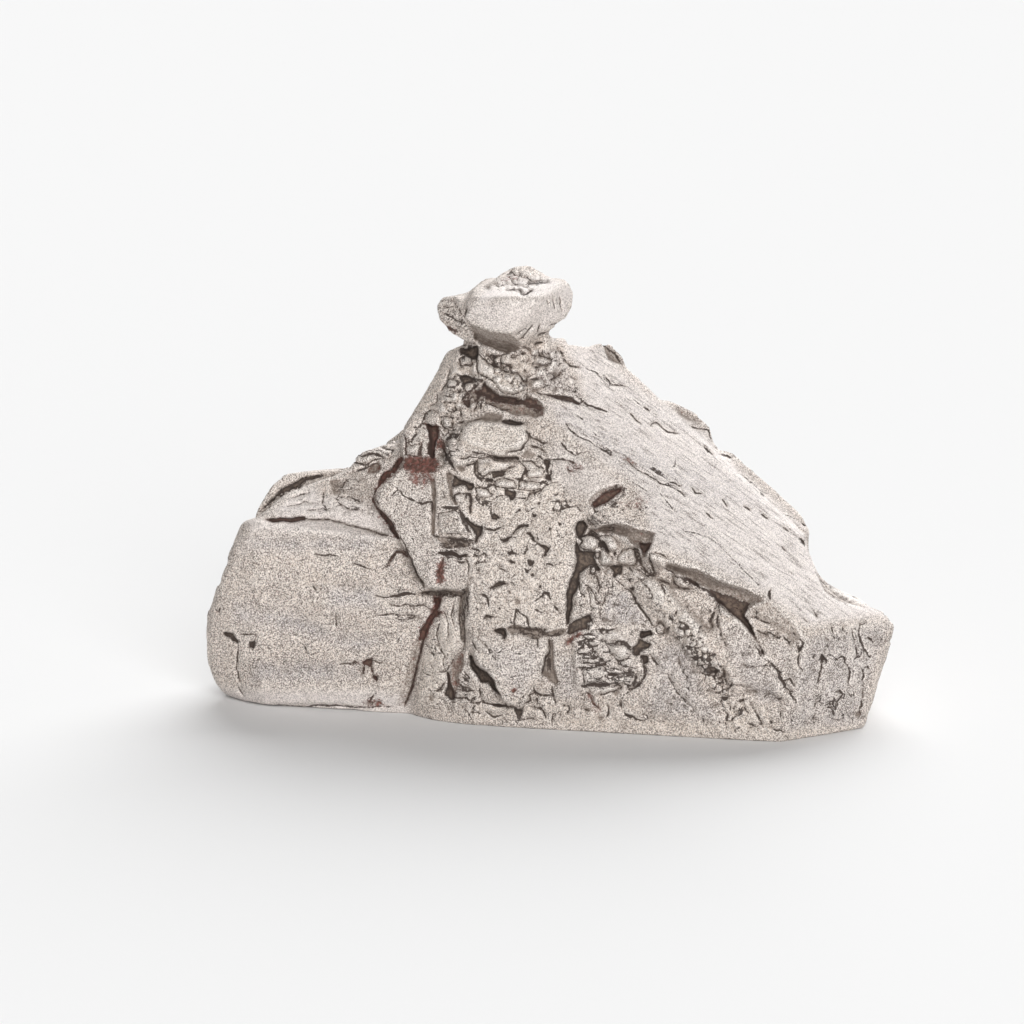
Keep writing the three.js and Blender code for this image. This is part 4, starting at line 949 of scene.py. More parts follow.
def cut_roof(face):
    """The long smooth slope, with streaks that run down it and one long crack along its front."""
    roof = (
        "7 21.4, 12 22, 15 17.4, 19 14.4, 25.8 10, 30 5.4, 37 -0.8, 49 -13.4, 38 -14.6, 33 -10.6, 24 -6.4, "
        "18.6 -4.4, 16.4 3.4, 12 6.4, 6 11.6, 4.6 14.4, 9.4 14.4, 8.6 18"
    )
    face.mark("soft", 1.0, 1.2, roof)
    face.mark("smooth", 1.0, 0.8, roof)
    # the slope's pale: partly its pinkish tone, partly painted light on a face turned up to the light
    face.mark("pale", 1.0, 1.0, roof)
    face.mark(
        "grey", 0.6, 1.0,
        "5.4 12.4, 9 9.8, 15 6.2, 21 3.2, 27 0.6, 33 1.6, 31 4, 24 6, 18 7.4, 12 10, 7 13.4",
    )
    face.mark("grey", 0.4, 1.0, "31 3, 38 -3.4, 35 -2.6, 30 1", "20 14, 25 11.6, 25.6 9, 21 10.6, 16 14")
    face.streaks(roof, slope=-0.78, length=3.4, width=0.42, depth=0.14, cover=0.3, seed=111)
    face.streaks(roof, slope=-0.72, length=1.6, width=0.3, depth=0.16, cover=0.16, seed=112)
    face.hollow("11.7 21.9, 13.5 21, 14.3 19.3, 12.4 19.8, 12.2 20.8", 0.7, 0.6)
    face.hollow("21.2 13.6, 24.5 12.2, 25 11.7, 24.2 11.4, 21.9 12.5, 21.6 13", 0.4, 0.4, rust=0.15)
    face.cracks(
        0.2, "12.3 17.5, 13 16.5, 14.7 16.4", "5.8 21.2, 7.5 19, 8.5 18.8",
        "23.4 11.2, 25.5 10.6, 25.9 9.4", "18 11.2, 18.2 11.5, 18.8 11.6, 20.2 10.4, 21.3 10.2",
        "15.5 12.7, 16 12, 16.6 11.6", "25 8.4, 25.4 7.9, 26 7.5", "27.3 7.6, 28 7.4, 28.5 7",
        "23.5 3, 23.9 2.5, 24.6 2.4", "27.3 1.6, 27.8 0.8", "30.2 0.7, 30.9 0.2", "32.2 2.6, 32.8 2.1",
        "37.6 -1.4, 38.2 -1.8", "35.3 -2, 35.9 -2.5", "32.6 -0.3, 33.1 -0.8", "35.2 -4.6, 35.6 -5",
        "25.3 -0.2, 26.1 -0.9",
    )
    face.crack("11.9 21.7, 13.2 20.8, 14.1 19.6", 0.25)
    face.hollow("4.4 15.3, 6.6 15.2, 8.8 14.4, 8.7 13.9, 5.6 14.8", 0.5, 0.9)
    face.cracks(
        0.24, "2 10.2, 2.6 9.6, 3.4 9.4, 4 8.9, 4.6 9.1", "6.4 8.9, 7.2 8, 8.2 7.4, 9 7.6",
        "2.4 8.6, 3.4 8.4, 4.2 7.8",
    )
    face.cracks(0.4, "2 16.2, 3 15.6, 5 15.1, 7.8 14.8, 8.7 14.1, 9.3 14.5, 10 13.9, 12.2 13.1", rust=0.1)
    face.cracks(
        0.2, "7 11.4, 7.5 10.7, 8.5 9.9, 10.3 9.1, 10.9 8.5", "11.5 8.2, 13 7.3", "12.4 8.2, 12.8 7.9",
        "15.2 6.5, 15.8 5.9, 19.3 3.8, 21 3.1, 22.5 2", "17.2 13.6, 17.8 13.2",
        "20.5 3.9, 21.2 3.8, 21.8 3.3", "37.4 -3.5, 37.9 -3.8, 38 -4.3",
    )
    face.hollow("14 6.7, 15 7.2, 16.2 6.3, 15.7 6.1, 15.1 6.4", 0.35, 0.55, 0.3, rust=0.4)
    face.hollow("37.2 -3.5, 37.8 -3.6, 38 -4.4, 37.6 -4.2", 0.5, 0.9)
    face.cracks(
        0.12, "16 14.5, 16.7 13.9", "18.2 13, 18.8 12.5", "13.7 10.1, 14.3 9.8, 14.6 9.4",
        "10.6 10.3, 11.2 9.8", "8.2 12.7, 9.1 12", "9.2 18.8, 11 18, 12.5 16.5",
        "29.4 5, 31.5 3.6, 32.4 2.6", "35.4 -0.3, 36.2 -0.6, 37 -1",
        "22.5 -2.5, 25.6 -3.2, 28 -5.3, 32 -9.5", "19 2.6, 21.2 0.2", "15.8 3.9, 17.6 2.6",
        "20.5 5.9, 20.9 5.8, 21.2 6.7", "17.8 5.7, 20.2 4.3", "18.2 5.8, 20.3 4.6", depth=0.15,
    )
    cheek = "5.2 9.6, 9.4 7.2, 14.4 3.8, 12.6 3.4, 10.2 1.6, 7.4 2.2, 5.4 4.6"
    face.mark("pale", 0.6, 1.2, cheek)
    face.flakes(cheek, count=50, size=0.24, depth=0.15, dark=0.25, seed=113)
    face.flakes("4.6 12, 5 9.6, 8.6 7, 9.6 8.6, 6.6 11.8", count=60, size=0.22, depth=0.15, seed=114)
    face.stain("14.6 0.8, 16.2 1.4, 17.4 1.6", 1.3, 0.4)
    face.chips("14 0, 15 2.4, 18.4 1.6, 17.4 -0.6", count=40, width=0.12, length=0.5, depth=0.15, seed=115)
    face.fibres(
        "9.7 1.2, 10.3 2.3, 11.2 3, 13.8 3.8, 14.8 3.4, 14.8 2.4, 13 2.6, 11 1.4",
        "10.2 0.8, 12.2 2.4, 14.4 3.2", 0.34, 0.2, seed=116,
    )
    face.hollow(
        "9.8 1.2, 10.3 2.1, 11.2 2.8, 13.6 3.5, 14.6 3.2, 14 2.4, 12 1, 10.6 0.8", 0.6, 0.5, 0.3, rust=0.25,
    )
    face.hollow("10.2 0.8, 10.9 1.7, 12 2.5, 14.3 3.2, 14 2.5, 12.7 1.4, 11 0.6", 1.2, 0.95, rust=0.5)
    face.cracks(0.25, "10.6 0.9, 10.7 0.2, 11.3 0.1", "14.2 2.3, 14.5 2.7, 14.7 3.2")
    face.fibres(
        "11 0.8, 13 1.6, 14.6 2.6, 16 1, 14.6 0, 12.4 0", "10.8 0.9, 12.6 1.3, 14.2 2.4", 0.32, 0.15,
        seed=117,
    )
    face.flakes(
        "10.4 0, 14.8 1.6, 18.6 0.6, 18 -2.2, 12 -1.4", count=50, size=0.24, depth=0.15, dark=0.2, seed=118,
    )


def cut_lips(face):
    """The lips where the roof overhangs the lower front, with cut hollows beneath them whose dim and dark
    colour is painted shade under the overhang.
    """
    face.fibres(
        "9.2 0.4, 11.6 -0.8, 13.8 -1.4, 13.4 -3, 11 -2.6, 9.9 -2.2", "10 -0.4, 12 -1.7, 14 -2", 0.4, 0.22,
        seed=121,
    )
    face.hollow("9.9 -0.1, 10.9 -0.9, 10.4 -0.8", 0.5, 0.95)
    # under the first lip: cut hollows painted dim and dark, which is painted shade under the overhang, with
    # a little rust
    face.hollow(
        "12 -1.6, 13.8 -1.5, 18.9 -2.7, 18.2 -4, 17.6 -5.8, 17.1 -6, 16.8 -4.9, 15.5 -4.1, 14.8 -3.4, "
        "12.6 -2.8, 11.4 -2.8, 10.6 -2.5, 10.2 -2.1, 11 -2.3", 1.2, 0.65, 0.6, rust=0.12,
    )
    face.hollow("16.6 -4, 18.3 -3.9, 17.9 -5, 17.2 -5.4, 16.8 -4.6", 1.6, 1.0, rust=0.3)
    face.swell(0.3, 1.2, "18 -5.6, 24 -6.4, 24 -4.6, 19 -3.6")
    face.cracks(
        0.22, "18 -5.2, 17.9 -6, 18.6 -8", "20 -7.4, 20.9 -7.7, 21.3 -8.2",
        "18.2 -5.2, 19.4 -5.5, 20.4 -6.2",
    )
    # under the second lip: cut hollows painted dim and dark in the same way, painted shade under the
    # overhang, with a little rust
    face.hollow(
        "20 -6.4, 24 -7.3, 27 -8.8, 30.5 -10, 32.8 -11.4, 32.6 -11.7, 31.5 -12, 30.5 -12.8, 30 -14.4, "
        "28 -12.8, 27.3 -11.8, 26.6 -11.6, 26 -10.6, 24.2 -9.5, 23.5 -9.6, 23.1 -9, 22.3 -8.4, 20 -7.4",
        1.2, 0.55, 0.7, rust=0.12,
    )
    face.hollow("25.6 -10, 31 -11.8, 30 -14.2, 28 -12.8, 27.3 -11.8, 26.6 -11.6", 1.5, 0.72, 0.7)
    face.crack("22.4 -8.5, 24 -9.6, 26 -10.6, 28.4 -12.9", 0.4, 0.4)
    face.hollow(
        "26.6 -11.3, 28 -12, 30.7 -14, 32.9 -18.6, 32.4 -18.3, 32.2 -17.2, 30.5 -15, 27.6 -12.3, "
        "26.8 -11.8", 1.4, 1.0, rust=0.15,
    )
    face.hollow("22.4 -8.5, 23.2 -8.6, 24.4 -9.5, 23.6 -9.7, 23.2 -9.2", 1.0, 0.95)
    face.nuggets(
        0.3, 0.2, "26.9 -11.9, 28.6 -13.4, 28.4 -14, 27.8 -13.8, 27.1 -13.2, 26.9 -12.6",
        "20.9 -8.3, 22 -8.5, 23 -9.4, 23 -9.9, 22 -9.9, 21 -9.2",
        "29 -12.2, 29.4 -12.3, 30.6 -13.6, 30.2 -13.7",
        "18.6 -14.8, 19.3 -14.3, 19.9 -14.8, 19.9 -15.7, 19.3 -16, 18.7 -15.6",
    )
    fawn = "30.5 -12.9, 31.2 -12.2, 33.4 -11.5, 37 -15, 38 -17.1, 36 -16.8, 34.5 -15.6, 32 -14.2"
    face.hollow(fawn, 0.6, 0.32, 0.6)
    face.flakes(fawn, count=60, size=0.28, depth=0.2, shade=0.4, dark=0.15, seed=122)
    face.streaks(fawn, slope=-0.6, length=1.0, width=0.3, depth=0.2, cover=0.5, seed=123)
    face.mark("cream", 0.6, 0.8, "33.5 -11, 36 -11.6, 39.6 -15.6, 38.6 -18, 36 -14")
    face.cracks(
        0.25, "33.6 -10.2, 33.4 -10.9, 33.5 -11.4", "31.9 -15.5, 32.8 -15.9, 33.2 -16.2",
        "35.3 -16.2, 35.9 -16.8, 36 -17.4",
        "37.4 -16.4, 38 -17.1, 37.3 -18.2, 37.2 -19, 37.3 -19.8, 37.9 -20.8",
        "36.4 -15.2, 36.6 -15.8, 36.9 -16", "33 -15.5, 34.5 -16.2, 34.6 -15.1", "31.8 -12.8, 31.9 -13.5",
        "30.8 -13.6, 31.8 -13.7, 32.5 -14.2, 33.5 -14.5",
    )
    face.hollow("37 -17.2, 37.6 -17.5, 38 -17.1, 37.3 -18.2", 0.7, 0.9)
    face.flakes(
        "18.4 -5, 24 -5.8, 33 -10, 33 -11.2, 24 -7, 19 -6.2", count=30, size=0.22, depth=0.12, dark=0.15,
        seed=124,
    )


def cut_right_front(face):
    """The broken front below the lips: nuggets, ribs, shards, and a stack of thin plates."""
    face.nuggets(
        0.6, 0.2,
        "8.6 -3.3, 9.8 -2.9, 10.6 -3.2, 11.3 -3.6, 11.2 -4.6, 10.5 -5, 9.3 -4.9, 8.6 -4.4, 9.2 -3.8",
        "10.2 -2.4, 11.1 -3, 11 -3.2, 10.1 -2.7",
        "11.3 -3.3, 12.2 -3, 12.9 -3.1, 13.9 -4.2, 13.9 -4.9, 13.2 -5.1, 12.6 -4.9, 12 -3.8, 11.4 -3.9",
        "11.5 -5, 12 -4.6, 12.4 -5.3, 13.1 -5.8, 13.1 -6.6, 12.4 -6.9, 11.6 -6.8, 11.3 -6.2, 11.5 -5.6",
        "10.7 -5.4, 11.3 -5.2, 11.5 -5.8, 11 -6",
        "13.8 -5.9, 14.4 -4.9, 15.4 -4.6, 16 -5, 16.2 -6.4, 16 -7, 14.6 -6.9, 13.8 -6.6",
        "10.1 -7.2, 10.7 -7, 10.9 -7.6, 10.6 -8.1, 10.1 -8",
        "12.1 -8, 12.3 -7.4, 13 -7.3, 13.1 -7.7, 12.6 -8.3",
    )
    face.hollows(
        0.9, 0.95, "11.2 -4, 12 -3.8, 12.8 -5.3, 12.2 -5.1, 11.9 -4.5, 11.4 -4.8",
        "13.1 -5.2, 13.8 -5.2, 13.4 -5.9",
    )
    face.hollow("13.1 -6.8, 14.5 -7, 14.2 -8, 13.2 -8.7, 13 -8.3, 13.2 -7.8, 12.7 -7.1", 0.9, 0.85)
    face.hollow("14.9 -7.1, 15.5 -7.2, 15.8 -7.9, 15.4 -7.7", 0.5, 0.9)
    face.hollow("15.3 -9.9, 15.7 -9.6, 16.1 -10, 15.7 -10.4", 0.5, 0.85)
    face.cracks(
        0.22, "15.7 -4.5, 16.4 -4.8, 16.7 -5.6, 16.9 -7.2", "16 -4.7, 16.2 -5.6, 16.4 -6.6",
        "11 -8.2, 11.4 -9.9, 11.1 -10.5", "13.6 -8.9, 14.9 -10", "13.1 -8.7, 13 -9.8",
        "16.5 -7.4, 17.3 -8.1, 17.9 -8.6", "16.8 -7.1, 17.7 -7.8, 18.4 -8.3",
        "18.9 -8.7, 19.7 -8.9, 21 -9.8, 23.5 -10.1, 24.5 -9.9", "19.2 -9, 19.6 -9.8, 19.9 -10.6",
        "8.5 -9, 9 -10.6, 9.5 -11, 9.6 -12", "15.1 -8.6, 15.4 -9.2", "16.3 -8.4, 17 -9.3, 17.9 -10.2",
    )
    face.cracks(
        0.15, "9 -8.9, 9.5 -9.4, 10.2 -11.2, 10.4 -13", "12.1 -11.2, 11.7 -12.3, 11.5 -13.5",
        "7.8 -12, 9.3 -12", "12.2 -11, 12.6 -10.6, 13 -10.8", "9.8 -9.5, 10.8 -10.9, 11.6 -12.4",
        "16.9 -14.6, 17.4 -15.2", "20.5 -14, 21 -14.3",
    )
    face.crack("15.2 -10, 18.2 -14.7", 0.3)
    facet = "13 -10.5, 15 -10.2, 17.9 -14.5, 11.6 -14.6, 12.2 -11.6"
    face.mark("grey", 1.0, 0.5, facet)
    face.mark("smooth", 0.7, 0.4, facet)
    face.swell(-0.25, 0.6, facet)
    face.swell(0.6, 0.7, "16 -7.8, 19.4 -9.4, 24.4 -15, 27 -20.4, 25 -20.6, 20.6 -15, 17.6 -10.6")
    face.cracks(
        0.36, "26.6 -12, 25.8 -14, 26.1 -14.8", "26.6 -13.2, 26.8 -15, 27.9 -17.6",
        "31.6 -17.4, 32.1 -18.1, 32.4 -18.7", "33.3 -19.2, 34.8 -20.9, 35 -21.8, 36.7 -24.4",
        "24.5 -18.6, 25.3 -18.4, 26.4 -18.6, 25.4 -18.8", "23.5 -18.9, 24.3 -18.7",
    )
    face.cracks(
        0.3, "20.4 -13.8, 20.9 -14.2, 21.1 -14.6", "21.3 -12.7, 21.4 -13, 21.1 -13.5",
        "20.1 -15.7, 20.3 -15.2, 20.9 -15",
    )
    face.crack("21.1 -14.6, 21.8 -14.3, 22.9 -15, 22 -15.2, 21.4 -14.9", 0.28)
    face.hollows(
        0.4, 0.85, "23.8 -16.1, 24.3 -16.1, 24.9 -16.5, 24.4 -16.6",
        "22.3 -17.2, 23.3 -17.3, 23.3 -18, 22.9 -17.8", "25.6 -12.6, 25.8 -12.6, 26 -13.1, 25.8 -13",
    )
    face.spots(0.2, 0.4, "20.4 -11.6, 22.9 -12.4, 19.2 -12.2, 24.9 -17, 26.9 -27.4, 24.9 -27")
    stack = "8.4 -15.6, 15.6 -15, 15.8 -18, 16.6 -22, 14.4 -23.6, 8.4 -23.4"
    face.nuggets(
        0.5, 0.18, "9.3 -16.1, 9.9 -15.9, 11 -16.2, 11.1 -16.5, 9.5 -16.5",
        "12.4 -17.4, 13.5 -17.2, 14.8 -17.3, 15.5 -18.1, 15.2 -18.9, 14.2 -19.3, 13.4 -19.1, 12.8 -18.1",
        "8.8 -18.4, 10.2 -18.3, 10.4 -19, 8.8 -19.1", "9 -20.4, 11.8 -20, 12.6 -21, 12 -22.2, 9.4 -22.5",
        "13 -21.4, 16.2 -21.2, 15.8 -22.6, 13.4 -22.2",
    )
    face.cracks(
        0.34, "12.3 -17.1, 13.8 -16.9, 14.9 -17.1, 15.4 -17.6", "13.3 -19.1, 14 -19.4, 15.4 -18.9",
        "8.6 -17.3, 9.8 -17.2, 10.3 -17.5, 10.6 -18.2, 10.6 -19", "8.5 -18.4, 10.2 -18.2",
        "8.5 -19.2, 10 -19", "8.8 -20.3, 10.2 -20.3, 12.1 -19.8", "11.2 -18.7, 12 -19.6, 12.2 -20",
        "20.2 -15.8, 20.4 -15.1, 20.9 -15",
    )
    face.cracks(
        0.28, "9.9 -16, 11.2 -16.1", "9.3 -16.2, 9.6 -16.6, 11 -16.5", "11 -15.3, 12.4 -15.4, 13.6 -15.3",
        "11.4 -15.6, 12.2 -15.8, 12.6 -15.7", "8.4 -17.9, 9.5 -17.6",
        "9.2 -22.7, 11.1 -22.3, 12 -22.5, 13.2 -22.3, 14.3 -22.8", "11.5 -23.7, 12.5 -23.5, 14 -23.3",
        "9.8 -13.7, 9.9 -15.3", "10.1 -13.4, 10.5 -14.4", "11.9 -18.2, 12.6 -18.2, 12.9 -18.6",
        "14.5 -20.1, 14.6 -20.7, 15.2 -20.9, 15.5 -20.3",
        "17 -20, 17.3 -20.7, 17.3 -21.3, 16.9 -21.8, 16.7 -22.5", "15 -23.1, 15.7 -23",
        "17.9 -18.5, 18.5 -19.4, 19 -19.9", "12.4 -25.2, 12.6 -26, 12.3 -26.5",
        "14.6 -26.1, 15 -26.5, 15.7 -26.6, 16.3 -27, 17.3 -27.1", "9.4 -25.6, 9.9 -25.8",
    )
    face.cracks(0.2, "10 -23.7, 10.6 -25, 11.1 -25.4", rust=0.6)
    face.crack("17.4 -20, 17.4 -21.3, 16.8 -22.4, 14.8 -23.7", 0.2, 0.35)
    face.crack("9 -22.5, 10.4 -22.7, 12 -22.5, 14.2 -22.8", 0.26, 0.5)
    face.cracks(
        0.22, "8.4 -17, 9.6 -16.9, 10.4 -17.3", "10.6 -17.6, 11 -18.6, 11.6 -19.4",
        "8.8 -19.8, 10 -19.6, 11.4 -19.7",
    )
    face.hollow("12.2 -21.2, 12.5 -20.9, 15 -20.9, 16 -20.7, 16 -21, 14.9 -20.9, 13 -21.3", 0.6, 0.8)
    face.hollow("13.1 -23.5, 14 -23.4, 14.1 -23.8, 13.6 -24.1", 0.4, 0.6)
    face.hollow("11 -26.5, 12 -26.4, 11.7 -27.1, 11.2 -27", 0.3, 0.6)
    face.hollow("16.2 -22.3, 16.7 -22.2, 16.5 -22.9, 15.8 -23", 0.5, 0.8)
    face.hollow("16.6 -15.6, 18 -15.3, 18.3 -16, 16.9 -16.5, 16.5 -16.4", 1.2, 0.95)
    face.hollow(
        "16.5 -16.5, 18.3 -17.2, 17.8 -17.8, 17 -18, 16.2 -18.8, 15.6 -18.4, 15.6 -17.6, 16 -17.3", 0.8,
        0.85,
    )
    face.hollow("16.4 -18.7, 17.7 -18.6, 17.8 -19.6, 16.9 -20, 16.9 -19.3", 1.0, 0.95)
    face.flakes(
        "10.5 -18.5, 12.2 -18.4, 12.2 -20, 10.5 -20", count=16, size=0.3, depth=0.3, dark=0.5, seed=131,
    )
    face.hollow("24.9 -20.6, 25.1 -20.2, 26 -20, 27 -20.4, 26.9 -20.9, 25.3 -21.1", 0.5, 0.95)
    face.nugget("25.6 -20.7, 26.2 -20.5, 26.6 -20.6, 26 -20.9", 0.5, 0.15, 0.0)
    face.cracks(
        0.22, "25 -21.3, 25.8 -21.2, 26 -21", "27.5 -20, 27.9 -22.5", "26.9 -21.6, 27.6 -21.4, 27.8 -21.6",
        "27.5 -22.6, 27.3 -21.7", "26.3 -21.5, 26.4 -22",
        "26.5 -22.3, 27.2 -22.2, 26.6 -22.4, 26.4 -22.9, 25.9 -22.9",
        "27.3 -22.5, 27.3 -23.1, 27 -23.5, 26.5 -23.5", "27.3 -23.1, 28.3 -22.9, 28.6 -22.3",
        "28 -24.8, 28.3 -25.3, 28.4 -25.8", "28.7 -25.7, 29 -25.1", "28.9 -26.2, 30 -25.4, 30.1 -25.1",
        "29 -26.6, 29.6 -26.3, 30.1 -25.6",
        "26.7 -25.9, 27.3 -25.8, 27.9 -26.1, 28.1 -26.6, 28 -27, 28.4 -27.3, 28.9 -28.6",
        "27.9 -26.7, 27.8 -27.5, 27.8 -28.1", "28.6 -27.4, 28.7 -27, 29 -26.6", "31 -24.8, 32.6 -27.7",
        "30.2 -25.2, 30.5 -25.8, 30.8 -26.1", "30.3 -27.3, 31.7 -27.9, 32.4 -27.6", "30.8 -28, 31.5 -28",
        "33.5 -27.9, 34.3 -28.5, 35 -28.4, 35.4 -28.8", "35 -26, 34.9 -26.7",
        "20.3 -21.5, 21.5 -23.6, 23.4 -25.3, 23.7 -25.8, 23.2 -26.2", "22.8 -22.8, 23.1 -23.1",
        "35.3 -21.9, 36.2 -21.6, 36.7 -22.6",
    )
    face.cracks(
        0.15, "25 -25.7, 26.8 -25", "35.9 -23.3, 36.6 -23.3", "21.6 -19.2, 22.4 -20.8, 23 -21.6",
        "30 -19.8, 31 -20.2, 32.6 -20, 33.4 -19.6",
    )
    face.hollows(
        0.6, 0.95, "27.2 -23.9, 28.3 -24, 28 -24.5, 27.5 -24.6, 27.2 -24.2",
        "29.5 -24.4, 30.6 -24.2, 30.2 -24.6, 29.5 -24.7", "33.3 -27.3, 33.6 -27, 33.9 -27.4, 33.6 -27.5",
    )
    panel = "27.6 -14.4, 30.4 -15.6, 35 -22.6, 33 -24, 29.6 -22, 28 -18"
    face.mark(
        "grey", 0.65, 1.0, panel, "33 -16.6, 36.6 -17.6, 37 -21.6, 35 -20.6",
        "6 -19, 8.4 -19, 8.4 -24, 6 -24",
    )
    face.mark("grey", 0.8, 1.0, "20 -17, 23 -17.5, 24.6 -24, 27 -27, 18 -26, 18.6 -20")
    face.mark("smooth", 0.4, 1.0, panel)
    face.mark(
        "cream", 0.7, 0.8, "16.5 -8.5, 19.4 -9.6, 24 -15, 26.4 -19.6, 24.6 -20, 20.4 -15",
        "27.6 -24.6, 33 -25, 34.6 -29, 28 -29", "8 -26.6, 36 -28.4, 36 -30, 8 -28",
    )
    face.swell(-0.3, 0.8, "29 -21.6, 33.6 -22.4, 34.6 -25.4, 31 -24.6")
    face.mark("grey", 0.9, 0.6, "31 -22.4, 33.8 -22.4, 34.8 -24.6, 32 -24.6")
    band = (
        "20.2 -13.2, 21.6 -13, 23.4 -15.6, 25.6 -18, 27.6 -20.6, 28.6 -23.6, 30.6 -26.4, 29.4 -28.4, "
        "27.4 -26, 26.4 -23.2, 24.6 -20.6, 22.4 -18, 20.8 -15.6"
    )
    face.rubble(band, size=0.8, lift=0.6, seam=0.2, depth=0.45, seed=144)
    face.flakes(band, count=70, size=0.3, depth=0.35, dark=0.5, seed=145)
    face.fibres(
        "8.6 -17.4, 12.4 -17.2, 13 -19.2, 16.4 -20, 16.6 -22.6, 9 -23.4", "8.6 -18.8, 12 -18.6, 16.4 -19.4",
        0.62, 0.35, 0.2, seed=146,
    )
    front = "8 -8, 14 -5, 20 -9.4, 26 -12.4, 31 -16, 36.6 -22, 36 -27, 26 -27.6, 8 -27"
    face.rubble(front, size=2.3, lift=0.3, seam=0.05, depth=0.15, seed=132)
    face.flakes(front, count=300, size=0.3, depth=0.22, dark=0.25, seed=133)
    face.chips(front, count=130, width=0.16, length=0.9, depth=0.25, seed=134)
    face.flakes("17 -8, 20 -9.6, 28 -20, 25 -21", count=60, size=0.3, depth=0.3, dark=0.35, seed=135)
    face.flakes(
        "8.4 -16.6, 16.6 -16, 17 -24, 8.4 -24", count=36, size=0.32, depth=0.25, dark=0.35, seed=136,
    )
    face.chips(stack, count=30, width=0.2, length=0.8, depth=0.3, seed=137)
    face.mark("cream", 0.8, 0.6, stack)
    face.mark("pale", 0.5, 0.6, stack)
    face.chips("18 -25, 36 -27, 36 -29.4, 18 -28.6", count=30, width=0.14, length=0.6, depth=0.2, seed=138)


def cut_right_end(face):
    """The grey end of the lump, with a few forked cracks."""
    face.cracks(
        0.25, "45.3 -14.5, 45.1 -16, 45.3 -16.9, 46.4 -18.9", "46.4 -18.9, 46.7 -18.6",
        "44.7 -17.2, 44.9 -18.8, 44.7 -19.2", "46.3 -16.3, 46.6 -16.6, 47 -17", "40.4 -19.6, 39.7 -22.2",
        "42.2 -19.2, 42.5 -18.9, 43 -18.8, 43.5 -19.1, 43.3 -19.5, 43.6 -19.9",
        "43.7 -19.8, 43.9 -21.2, 43.7 -22.2", "42.1 -23.4, 42.5 -23.2, 42.9 -23.6, 42.1 -24.8, 42.4 -25.2",
        "45.5 -20.5, 45.7 -21.2, 45.6 -21.8", "45.6 -23.2, 45.5 -25.3, 45.1 -26, 45.4 -26.2, 45.2 -26.6",
    )
    face.cracks(
        0.15, "46 -14.5, 45.6 -14.8", "44.3 -15.5, 44.4 -16.2, 44.6 -16.6",
        "45.7 -17.9, 45.4 -18.5, 45.2 -19", "41.3 -24.8, 41.6 -24.6, 42.1 -24.8", "40.9 -25.4, 41.4 -25.5",
        "41.8 -26.9, 42.7 -27", "39.8 -24.6, 39.4 -25, 39.3 -25.5", "39.4 -26.3, 39.2 -26.7, 39.4 -27",
        "38.9 -26.7, 39.1 -27", "45.8 -20.2, 46.2 -20, 46.4 -20.4", "40.8 -16.4, 41.2 -16.8",
        "43.6 -23.4, 44.1 -24", "43.1 -14.8, 43 -15.6", "41.6 -15, 41.8 -15.8", "39.4 -13, 39.8 -13.6",
        "38 -13.8, 38.4 -14.2", "44.8 -10.9, 46.5 -11.4, 48 -12.4, 49 -13.6",
    )
    face.hollow("40.1 -18.9, 40.4 -18.4, 41 -19.3, 41 -19.8, 40.6 -19.4, 40.4 -19.8, 40.2 -19.5", 0.7, 0.95)
    face.hollow("41.6 -25.6, 41.8 -25.6, 42 -26.5, 41.7 -26.4", 0.5, 0.95)
    face.hollow("45.2 -11.9, 45.5 -11.8, 45.8 -12, 45.5 -12.2", 0.3, 0.6)
    face.hollow("44.4 -26.2, 45.2 -25.8, 45.6 -26, 45 -26.8", 0.4, 0.65)
    face.swell(-0.4, 1.0, "39.8 -19, 38.6 -20.6, 38.2 -22.6, 39 -22.4, 39.8 -20.8")
    face.stain("45.2 -23.4, 45 -26", 1.0, 0.25)
    end = "38.4 -16.6, 49 -14.6, 46 -23, 45.6 -27.6, 36 -28.2, 37 -21"
    face.mark("grey", 0.8, 1.0, end)
    face.mark("cream", 0.6, 0.6, "36 -28, 45.6 -27, 45.6 -29, 36 -30")
    face.flakes(end, count=90, size=0.26, depth=0.18, dark=0.2, seed=141)
    face.chips(end, count=50, width=0.14, length=0.8, depth=0.2, seed=142)
    face.chips("38 -24, 45 -24, 45 -27.8, 38 -28", count=26, width=0.16, length=0.6, depth=0.2, seed=143)


def front_relief(seed):
    """The whole front's relief."""
    face = Relief(seed)
    for cut in (
        cut_left_block, cut_left_ledge, cut_tongue, cut_inner_plate, cut_lower_wedge, cut_column_top,
        cut_column, cut_shelf_and_lower_tongue, cut_peak, cut_cap, cut_roof, cut_lips, cut_right_front,
        cut_right_end,
    ):
        cut(face)
    return face


# ---- The lump as distances on voxels ----


def sighted(points):
    """Where points in the frame, in mm, lie on the front view: across, up and distance along the sight."""
    offset = points - SIGHT_CENTRE.astype(np.float32)
    rise, run = math.sin(SIGHT_TILT), math.cos(SIGHT_TILT)
    beyond = offset[:, 1] * run - offset[:, 2] * rise
    scale = SIGHT_DISTANCE / (SIGHT_DISTANCE + beyond)
    return offset[:, 0] * scale, (offset[:, 1] * rise + offset[:, 2] * run) * scale, beyond


def read_layer(layer, across, up):
    """A relief layer's value at places on the front view, evened between its grid points."""
    x = np.clip((across - Relief.LEFT) / Relief.STEP, 0, layer.shape[1] - 1.001)
    y = np.clip((up - Relief.LOW) / Relief.STEP, 0, layer.shape[0] - 1.001)
    column, row = x.astype(np.int32), y.astype(np.int32)
    fx, fy = (x - column).astype(np.float32), (y - row).astype(np.float32)
    flat, wide = layer.astype(np.float32).ravel(), layer.shape[1]
    corner = row * wide + column
    low = flat[corner] * (1 - fx) + flat[corner + 1] * fx
    high = flat[corner + wide] * (1 - fx) + flat[corner + wide + 1] * fx
    return low * (1 - fy) + high * fy


BLUR_REACH = 2.4  # how far a blur takes in its neighbours, in spreads


